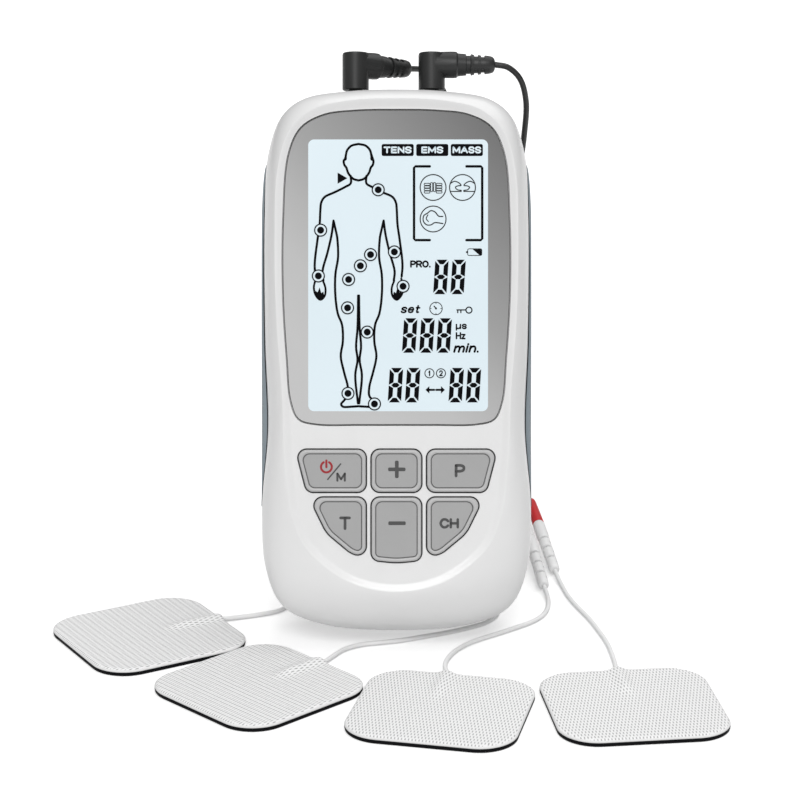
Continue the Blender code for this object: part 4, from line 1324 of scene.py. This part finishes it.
def pad_places():
    """Where the figure's pads go."""
    return (
        (-4.4, 40.95), (-18.3, 31.2), (-18.85, 20.15), (-0.5, 25.95), (-6.25, 25.3), (-8.7, 22.6),
        (-11.55, 19.3), (1.6, 17.65), (-11.8, 12.45), (-7.05, 6.6), (-11.7, -8.2), (-5.3, -10.75),
    )


def display_print(looks):
    """Everything on the display, in layers from the glass outwards."""
    dot, rim, ground = SPOT_RADII
    boxes, names = mode_labels()
    symbols = programme_frame() + battery_symbol() + clock_symbol() + lock_symbol() + channel_symbols()
    spots = [ring(*place, rim, 0.3) for place in pad_places()]
    spots += [disc(*place, dot) for place in pad_places()]
    for name, shapes, look, layer in (
        ("figure_outline", figure_outline(), "ink", 0),
        ("figure_spots_ground", [disc(*place, ground) for place in pad_places()], "lcd", 1),
        ("figure_spots", spots, "ink", 2),
        ("display_numbers", display_numbers(), "ink", 0),
        ("display_words", display_words(), "ink", 0),
        ("display_symbols", symbols, "ink", 0),
        ("programme_icons", programme_icons(), "ink_grey", 0),
        ("mode_boxes", boxes, "ink", 0),
        ("mode_names", names, "lcd", 1),
    ):
        printed(name, shapes, looks[look], LENS_DEPTHS[0] - PRINT_LIFT * layer)


def power_sign():
    """A broken ring with a bar in the gap."""
    x, z, radius, gap = -16.9, -25.95, 1.3, math.radians(30)
    turn = np.linspace(gap, 2 * math.pi - gap, 24)
    arc = [(x + radius * math.sin(a), z + radius * math.cos(a)) for a in turn]
    return [stroke(arc, 0.52), stroke([(x, -24.4), (x, -26.0)], 0.52)]


def key_print(looks):
    """The keys' legends: a power sign and M, plus, P, T, minus and CH."""
    mode = lettering("M", (-14.5, -12.2, -29.5, -27.3), 0.5)
    legends = {
        "key_power_mode": mode + [stroke([(-16.57, -28.94), (-13.46, -25.23)], 0.35)],
        "key_plus": [flat(plus_sign(0.09, -26.53, 2.1, 0.445, 0.3))],
        "key_program": lettering("P", (14.05, 16.6, -28.45, -25.25), 0.68),
        "key_time": lettering("T", (-13.8, -11.0, -41.15, -37.9), 0.68),
        "key_minus": [flat(rectangle(2.1, -39.97, -39.08, radius=0.3, x=0.14))],
        "key_channel": lettering("CH", (10.35, 15.1, -40.8, -38.3), 0.62),
    }
    for name, shapes in legends.items():
        printed(f"{name}_legend", shapes, looks["legend"], KEY_FACE_DEPTH, name)
    printed("key_power_sign", power_sign(), looks["legend_red"], KEY_FACE_DEPTH, "key_power_mode")


def plus_sign(x, z, reach, half, radius):
    """The outline of a plus with rounded ends and sharp inner corners."""
    quarter = [(x - half, z + reach, radius), (x + half, z + reach, radius), (x + half, z + half, 0.02)]
    corners = []
    for _ in range(4):
        corners += quarter
        quarter = [(x + b - z, z - a + x, radius) for a, b, radius in quarter]
    return rounded(corners, 5)


# Leads and pads


def exit_of(route):
    """Where a cord leaves what it is fixed to, in metres."""
    return TABLE @ (Vector(route[0]) * MM)


def tube(name, line, diameter, look):
    """A cord along a finely divided line of table points, and its length in metres."""
    length = np.linalg.norm(np.diff(line, axis=0), axis=1).sum()
    count = max(24, round(length / (0.55 * diameter)))  # points about half a diameter apart
    places = evenly(np.array(line), count, closed=False)
    curve = bpy.data.curves.new(name, "CURVE")
    curve.dimensions = "3D"
    curve.bevel_depth = diameter / 2 * MM
    curve.bevel_resolution = 3
    curve.use_fill_caps = True
    spline = curve.splines.new("POLY")
    spline.points.add(len(places) - 1)
    spline.use_smooth = True
    for point, place in zip(spline.points, places):
        point.co = (*(place * MM), 1.0)
    curve.materials.append(look)
    return placed(name, curve, TABLE), length * MM


def trunk_routes():
    """Each lead from its plug to where it meets its coil."""
    return (
        [
            (3.35, 47.0, 132.9), (7.2, 50.6, 131.8), (11.4, 54.6, 127.0), (14.0, 57.0, 118.0),
            (14.6, 58.2, 104.0), (13.6, 59.0, 84.0), (11.6, 59.8, 62.0), (9.2, 61.6, 42.0),
            (6.8, 65.2, 25.0), (4.0, 71.6, 13.4), (1.2, 78.4, 7.9), (-0.8, 84.2, 5.7), (-1.42, 88.9, 5.3),
        ],
        [
            (24.6, 38.65, 135.3), (27.6, 38.7, 134.7), (30.6, 38.9, 131.9), (32.3, 40.2, 126.0),
            (32.1, 42.6, 117.0), (31.0, 45.6, 106.0), (30.0, 49.0, 90.0), (29.2, 52.2, 70.0),
            (28.6, 55.6, 49.0), (28.3, 60.4, 30.0), (28.2, 67.6, 16.2), (28.4, 75.6, 9.0),
            (28.55, 82.6, 6.1), (28.57, 88.9, 5.3),
        ],
    )


def leg_routes():
    """Each lead's two legs, from the splitter to the pins."""
    return (
        (
            [
                (-2.3, 112.5, 2.25), (-2.7, 117.0, 1.4), (-3.6, 127.0, 0.72), (-6.0, 144.0, 0.72),
                (-12.0, 156.0, 0.72), (-19.6, 158.0, 0.72), (-25.6, 149.0, 0.72), (-27.4, 132.0, 0.72),
                (-27.0, 108.0, 0.72), (-26.2, 88.0, 0.72), (-26.0, 78.0, 1.1), (-26.0, 70.6, 1.75),
            ],
            [
                (-0.55, 112.5, 2.25), (-0.2, 117.0, 1.4), (0.8, 128.0, 0.72), (2.4, 136.5, 0.72),
                (4.2, 143.5, 0.72), (5.4, 146.3, 0.72), (8.2, 147.6, 0.72), (11.0, 146.3, 0.72),
                (12.1, 143.3, 0.72), (11.9, 138.0, 0.72), (10.6, 130.0, 0.72), (7.0, 119.0, 0.72),
                (3.8, 108.0, 0.72), (3.0, 96.0, 0.72), (4.2, 87.0, 0.72), (8.6, 81.2, 0.72),
                (14.6, 79.6, 0.72), (19.4, 78.4, 0.9), (21.9, 75.4, 1.25), (22.31, 70.85, 1.75),
            ],
        ),
        (
            [
                (29.45, 112.5, 2.25), (29.7, 117.0, 1.4), (29.9, 128.0, 0.72), (29.4, 146.0, 0.72),
                (28.9, 163.0, 0.72), (29.75, 165.05, 0.72), (31.8, 165.9, 0.72), (33.85, 165.05, 0.72),
                (34.7, 163.0, 0.72), (34.6, 150.0, 0.72),
                (34.2, 132.0, 0.72), (34.0, 112.0, 1.2), (33.8, 98.0, 3.9), (33.6, 86.0, 6.9),
                (33.65, 75.0, 7.9), (34.35, 66.98, 7.02),
            ],
            [
                (27.7, 112.5, 2.25), (27.3, 117.0, 1.4), (25.8, 130.0, 0.72), (23.6, 152.0, 0.72),
                (23.2, 174.0, 0.72), (27.4, 186.0, 0.72), (34.0, 185.0, 0.72), (38.0, 174.0, 0.72),
                (37.6, 156.0, 0.72), (37.0, 138.0, 0.72), (36.5, 120.0, 0.9), (36.1, 108.0, 3.0),
                (36.0, 96.0, 6.6), (36.2, 86.3, 7.9), (36.94, 78.29, 7.01),
            ],
        ),
    )


def pad_wire_routes():
    """Each pad's own wire, from the edge of the pad to its socket."""
    return (
        [
            (-43.6, 5.8, 0.95), (-39.4, 7.6, 0.7), (-34.0, 9.6, 0.7), (-29.6, 12.2, 0.7),
            (-27.2, 16.6, 0.7), (-26.2, 22.0, 0.8), (-26.0, 29.7, 1.75),
        ],
        [
            (-17.7, -22.0, 0.95), (-15.8, -18.6, 0.7), (-12.8, -13.6, 0.7), (-8.9, -10.6, 0.7),
            (-4.1, -9.2, 0.7), (0.9, -7.8, 0.7), (5.8, -5.7, 0.7), (11.4, -3.2, 0.7),
            (17.0, -0.1, 0.7), (22.4, 4.0, 0.7), (25.2, 9.0, 0.7), (25.9, 15.0, 0.7), (25.2, 22.0, 0.8),
            (24.52, 29.7, 1.75),
        ],
        [
            (12.3, -29.4, 0.95), (11.8, -26.0, 0.7), (11.8, -22.0, 0.7), (13.0, -17.5, 0.7),
            (15.0, -13.4, 0.7), (17.7, -9.7, 0.7), (21.2, -6.4, 0.7), (25.0, -3.4, 0.7),
            (29.5, 0.4, 0.7), (34.0, 4.6, 0.7), (36.9, 9.0, 0.7), (38.4, 14.2, 0.7), (38.8, 20.0, 0.9),
            (38.13, 26.6, 1.66),
        ],
        [
            (52.45, -27.3, 0.95), (52.6, -21.6, 0.7), (51.7, -9.6, 0.7), (50.0, -0.5, 0.7),
            (48.3, 6.9, 0.7), (45.9, 14.9, 0.7), (44.1, 22.1, 0.7), (42.7, 31.0, 0.85),
            (41.58, 38.0, 1.66),
        ],
    )


def coil_turns():
    """The (column, layer) of each turn: columns inwards and back, from the top layer to the lowest."""
    turns = []
    for step in range(COIL_LAYERS):
        columns = range(COIL_COLUMNS) if step % 2 == 0 else reversed(range(COIL_COLUMNS))
        turns += [(column, COIL_LAYERS - 1 - step) for column in columns]
    return turns


def coil_line(middle):
    """The wound length of a lead. Each turn keeps its radius until it shifts to the next one."""
    turns = coil_turns()
    shift = 1.0 / 6.0  # the share of a turn in which the cord changes column or layer
    x, y = middle
    points = []
    for number, (column, layer) in enumerate(turns):
        before = turns[number - 1] if number else (column, layer)
        after = turns[number + 1] if number + 1 < len(turns) else (column, layer)
        for t in np.arange(72) / 72:
            late = eased((t - 1 + shift) / shift) if after[0] > column or after[1] != layer else 0.0
            early = 1 - eased(t / shift) if before[0] > column else 0.0
            place = column + late * (after[0] - column) + early * (before[0] - column)
            radius = COIL_OUTER_TURN - COIL_PITCH * place
            angle = 2 * math.pi * t
            height = COIL_LOWEST_TURN + TRUNK_DIAMETER * (layer + late * (after[1] - layer))
            points.append((x + radius * math.cos(angle), y + radius * math.sin(angle), height))
    points.append((x + COIL_OUTER_TURN, y, COIL_LOWEST_TURN))
    return points


def coil_tie(name, middle, degrees, look):
    """A strap round the bundle of turns."""
    angle = math.radians(degrees)
    out = np.array((math.cos(angle), math.sin(angle)))
    side = np.array((-out[1], out[0]))
    centre = np.array(middle) + out * (COIL_OUTER_TURN - COIL_PITCH * (COIL_COLUMNS - 1) / 2)
    half_width, bottom, top, width, thick = 3.25, 0.3, 6.35, 2.2, 0.3
    strip = []
    for across, grow in ((-1, thick), (1, thick), (1, 0.0), (-1, 0.0), (-1, thick)):
        section = rectangle(half_width + grow, bottom - grow, top + grow, radius=0.9 + grow)
        strip.append([(*(centre + out * x + side * across * width / 2), z) for x, z in section])
    made = piece_of(name, loft(name, strip, capped=False), look, TABLE)
    merge(made)
    softened(made, 0.12)
    smooth(made)
    return settle(made)


def merge(piece):
    """Joins points that lie on each other."""
    shape = bmesh.new()
    shape.from_mesh(piece.data)
    bmesh.ops.remove_doubles(shape, verts=shape.verts, dist=1e-7)
    bmesh.ops.recalc_face_normals(shape, faces=shape.faces)
    shape.to_mesh(piece.data)
    shape.free()


def splitter(number, look):
    """Moulded where the lead divides: a tapered neck, a flat body and a collar for each leg."""
    x, y = np.array(COIL_MIDDLES[number - 1]) + (COIL_OUTER_TURN, COIL_EXIT_ALONG)
    stations = (  # along, half width, half height
        (0.0, 0.85, 0.85), (0.25, 1.15, 1.1), (2.0, 1.3, 1.2), (3.4, 1.95, 1.7), (4.2, 2.15, 1.85),
        (8.2, 2.2, 1.85), (8.8, 2.1, 1.7), (9.1, 1.8, 1.3), (SPLITTER_LENGTH, 1.7, 1.05),
    )
    angles = np.arange(32) * 2 * math.pi / 32
    rings = []
    for station, half_width, half_height in stations:
        height = TRUNK_END_HEIGHT + SPLITTER_RISE * station / SPLITTER_LENGTH
        ring = [(half_width * math.cos(a), half_height * math.sin(a)) for a in angles]
        rings.append([(x + across, y + station, height + up) for across, up in ring])
    name = f"lead_{number}_splitter_body"
    made = piece_of(name, loft(name, rings), look, TABLE)
    smooth(made, 50)
    return settle(made, replaces=[f"lead_{number}_splitter"])


def socket_line(number):
    """The two ends of a socket, and the direction from the first to the second."""
    low, high = (Vector(point) for point in SOCKETS[number - 1])
    return low, high, (high - low).normalized()


def socket_profile(starts):
    """A socket's (distance, radius) points, with what the slots in its tail need."""
    profile = [(0, 0.85), (0.12, 1.15), (0.45, 1.34), (1.4, 1.44)]
    for start in sorted(starts):
        radius = 1.46 + 0.004 * start
        profile += [(start + step, radius) for step in (0, 0.1, 0.95, 1.05)]
    profile += [(18.2, 1.53), (18.7, 1.66), (25.6, 1.68), (SOCKET_LENGTH, 1.56)]
    return profile + [(SOCKET_LENGTH, 0.85), (SOCKET_LENGTH - 9, 0.8)]


def socket(number, looks):
    """The socket on a pad's wire: a plain body and a tail with bending slots in either side in turn."""
    low, high, axis = socket_line(number)
    upper_left = math.radians(135)
    slots = {5.0: 1, 10.6: 1, 15.8: 1, 2.4: -1, 7.9: -1, 13.3: -1}  # where each starts, and on which side

    def slotted(distance, radius, angle):
        for start, side in slots.items():
            if start + 0.05 < distance < start + 1.0 and side * math.cos(angle - upper_left) > -0.1:
                return radius - SLOT_DEPTH
        return radius

    name = f"pad_{number}_socket_body"
    mesh = turned(name, low, high, socket_profile(slots), 48, shape_at=slotted)
    made = piece_of(name, mesh, [looks["white"], looks["slot_dark"]], TABLE)
    # painted shade: the faces deep in the bending slots are painted near black
    for face in mesh.polygons:
        place = face.center / MM - low
        distance = place @ axis
        off = (place - axis * distance).length
        if 2.0 < distance < 17.0 and off < 1.44 - SLOT_DEPTH / 2:
            face.material_index = 1
    smooth(made, 40)
    return settle(made, replaces=[f"pad_{number}_socket"])


def pin(lead_number, letter, number, looks):
    """The pin on a leg: a plain sleeve and, inside the socket, a metal tip."""
    _, high, axis = socket_line(number)
    rear = high + axis * (TOUCH + PIN_LENGTH)
    sleeve = [(0, 0.8), (0.12, 1.1), (0.5, 1.3), (1.6, 1.4), (PIN_LENGTH - 0.25, 1.62), (PIN_LENGTH, 1.5)]
    tip = [(PIN_LENGTH, 0.5), (PIN_LENGTH + 7.2, 0.5), (PIN_LENGTH + 7.5, 0.3)]
    slots = [0] * (len(sleeve) - 1) + [1] * len(tip)
    name = f"lead_{lead_number}_pin_{letter}_body"
    colour = "red" if letter == "b" else "white"
    mesh = turned(name, rear, high, sleeve + tip, 32, slots)
    made = piece_of(name, mesh, [looks[colour], looks["nickel"]], TABLE)
    smooth(made, 40)
    return settle(made, replaces=[f"lead_{lead_number}_pin_{letter}"])


def boot_profile():
    """A boot's (distance, radius) points: a ledge, then a taper with a groove at each slot."""
    profile = [(0, 3.2), (5.2, 3.3), (6.1, 3.24), (6.5, 2.85)]
    for place, long in BOOT_SLOTS:
        radius = 2.85 - 0.09 * (place - 6.5)
        bottom = radius - BOOT_SLOT_DEPTH
        profile += [(place - 0.12, radius), (place, bottom)]
        profile += [(place + long, bottom), (place + long + 0.12, radius)]
    return profile + [(14.3, 2.2), (15.1, 1.95), (15.5, 1.5), (15.7, 0.9)]


def webbed(distance, radius, angle):
    """The second and third slots leave a web along the boot's sides."""
    in_web = abs(math.cos(angle)) > 0.72
    in_slot = any(place - 0.05 < distance < place + long + 0.05 for place, long in BOOT_SLOTS[1:])
    return radius + BOOT_SLOT_DEPTH if in_web and in_slot else radius


def plug(number, look):
    """A right-angled moulded plug: a thin shaft, a plain stem and a tapered boot with bending slots."""
    x, yaw = JACK_PLACES[number - 1], PLUG_YAW[number - 1]
    name = f"plug_{number}_body"
    made = turned(name, (x, JACK_DEPTH, 53.1), (x, JACK_DEPTH, 90), PLUG_STEM, 40)
    made = piece_of(name, made, look)
    start = Vector((x, JACK_DEPTH, PLUG_HEIGHT))
    way = Vector((math.cos(yaw), math.sin(yaw), 0))
    join(made, turned("boot", start, start + way, boot_profile(), 40, shape_at=webbed))
    smooth(made, 38)
    return settle(made, replaces=[f"plug_{number}"])


def into_the_plug(route):
    """The route with a point more at its start, inside the plug's boot."""
    start, ahead = np.array(route[0]), np.array(route[1])
    inwards = 1.3
    return [start - inwards * (ahead - start) / np.linalg.norm(ahead - start), *route]


def white_cord(name, line, looks):
    """A lead's leg or a pad's wire, and its length."""
    cord, length = tube(f"{name}_cord", line, LEG_DIAMETER, looks["cord_white"])
    return settle(cord, replaces=[name]), length


def loose_cord(cord, length, route, connector):
    """Works out where the route leaves what it is fixed to, and keeps nothing. The cord and the connector on
    its far end are not used.
    """
    exit_of(route)


def leads(looks):
    """The two leads: a trunk from the plug through its coil to the splitter, and two legs."""
    places = ((1, "a", 1), (1, "b", 2), (2, "a", 3), (2, "b", 4))
    pins = {(lead, letter): pin(lead, letter, number, looks) for lead, letter, number in places}
    for number, (route, legs) in enumerate(zip(trunk_routes(), leg_routes()), 1):
        middle = COIL_MIDDLES[number - 1]
        end = (middle[0] + COIL_OUTER_TURN, middle[1] + COIL_EXIT_ALONG + TRUNK_HELD, TRUNK_END_HEIGHT)
        tail = [(end[0], middle[1] + TRUNK_RISE_START, COIL_LOWEST_TURN), end]
        line = list(through(into_the_plug(route), closed=False)) + coil_line(middle) + tail
        trunk, length = tube(f"lead_{number}_cord", line, TRUNK_DIAMETER, looks["cord_black"])
        settle(trunk, replaces=[f"lead_{number}_trunk", f"lead_{number}_coil"])
        on_it = [plug(number, looks["black"]), splitter(number, looks["black"])]
        for tie, degrees in ((1, 90), (2, 250)):
            on_it.append(coil_tie(f"lead_{number}_tie_{tie}", middle, degrees, looks["black"]))
        exit_of(route)
        for letter, leg in zip("ab", legs):
            name = f"lead_{number}_leg_{letter}"
            cord, length = white_cord(name, through(leg, closed=False), looks)
            loose_cord(cord, length, leg, pins[number, letter])


def under_cloth(route, degrees):
    """The route with a point more at its start, inside the pad and under its cloth."""
    turn = math.radians(degrees)
    x, y, _ = route[0]
    inwards, height = 2.2, 1.25
    return [(x + inwards * math.sin(turn), y - inwards * math.cos(turn), height)] + list(route)


def pad_wires(looks):
    for number, (route, (_, degrees, _)) in enumerate(zip(pad_wire_routes(), PADS), 1):
        line = through(under_cloth(route, degrees), closed=False)
        cord, length = white_cord(f"pad_{number}_wire", line, looks)
        loose_cord(cord, length, route, socket(number, looks))


def hump(x, y, entry):
    """How far the cloth rises over the wire that runs in under it, at a place on the pad."""
    reach = eased((y - HUMP_START) / HUMP_RUN)
    return HUMP_HEIGHT * reach * math.exp(-(((x - entry) / HUMP_WIDTH) ** 2))


def pad_outline():
    half = PAD_SIDE / 2
    square = rectangle(half, -half, half, PAD_RADIUS, steps=16)
    return evenly(np.vstack([square, square[:1]]), 260, closed=True)


def pad(number, middle, degrees, entry, looks):
    """A square electrode pad: pressed white cloth over black film and gel."""
    turn = Matrix.Rotation(math.radians(degrees), 4, "Z")
    frame = TABLE @ Matrix.Translation(Vector((*middle, 0)) * MM) @ turn
    outline = pad_outline()
    levels = ((0.2, 0.0), (0.05, 0.12), (0.0, 0.35), (0.0, 0.7), (0.12, GEL_TOP))
    rings = [[(x, y, z) for x, y in inset(outline, step)] for step, z in levels]
    gel = piece_of(f"pad_{number}_film", loft(f"pad_{number}_film", rings), looks["gel"], frame)
    smooth(gel, 50)
    settle(gel, replaces=[f"pad_{number}_gel"])

    rings = [[(x, y, GEL_TOP + 0.02) for x, y in inset(outline, 0.1)]]
    rings.append([(x, y, GEL_TOP + 0.12) for x, y in outline])
    rim = [1.0, 0.992, 0.984]
    for share in np.concatenate([rim, np.linspace(0.97, 0.02, 46)]):
        crown = 1 - min(1.0, (1 - share) / 0.05)
        top = CLOTH_TOP - 0.5 * crown**2
        rings.append([(x, y, top + hump(x, y, entry)) for x, y in outline * share])
    plain = len(rim) + 1
    slots = [1] * plain + [0] * (len(rings) - 1 - plain)
    cloth = loft(f"pad_{number}_top", rings, slots=slots)
    cloth = piece_of(f"pad_{number}_top", cloth, [looks["cloth"], looks["cloth_rim"]], frame)
    smooth(cloth, 60)
    settle(cloth, replaces=[f"pad_{number}_cloth"])


def repaint(frame, looks):
    """Gives each CAD node that still shows its own material."""
    finish = {
        "lcd_panel": "lcd",
        "backlight_panel": "panel",
        "keypad_mat": "mat",
        "main_board": "board",
        "pulse_transformer": "black",
        "battery_contact_strip": "nickel",
    }
    for name, node in frame["nodes"].items():
        look = finish.get(name)
        if name.startswith("battery_cell"):
            look = "cell"
        elif name.startswith("output_jack"):
            look = "black"
        node.data.materials.clear()
        node.data.materials.append(looks[look or "case"])


def main():
    for obj in list(bpy.data.objects):
        bpy.data.objects.remove(obj)
    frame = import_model()
    looks = all_materials()
    camera()
    stage()
    repaint(frame, looks)
    leads(looks)
    pad_wires(looks)
    for number, (middle, degrees, entry) in enumerate(PADS, 1):
        pad(number, middle, degrees, entry, looks)
    front_shell(looks)
    back_shell(looks)
    jack_rail(looks)
    side_grip(looks, -1, "side_grip_left")
    side_grip(looks, 1, "side_grip_right")
    keys(looks)
    display_lens(looks)
    stand(looks)
    battery_door(looks)
    screws(looks)
    display_print(looks)
    key_print(looks)


main()
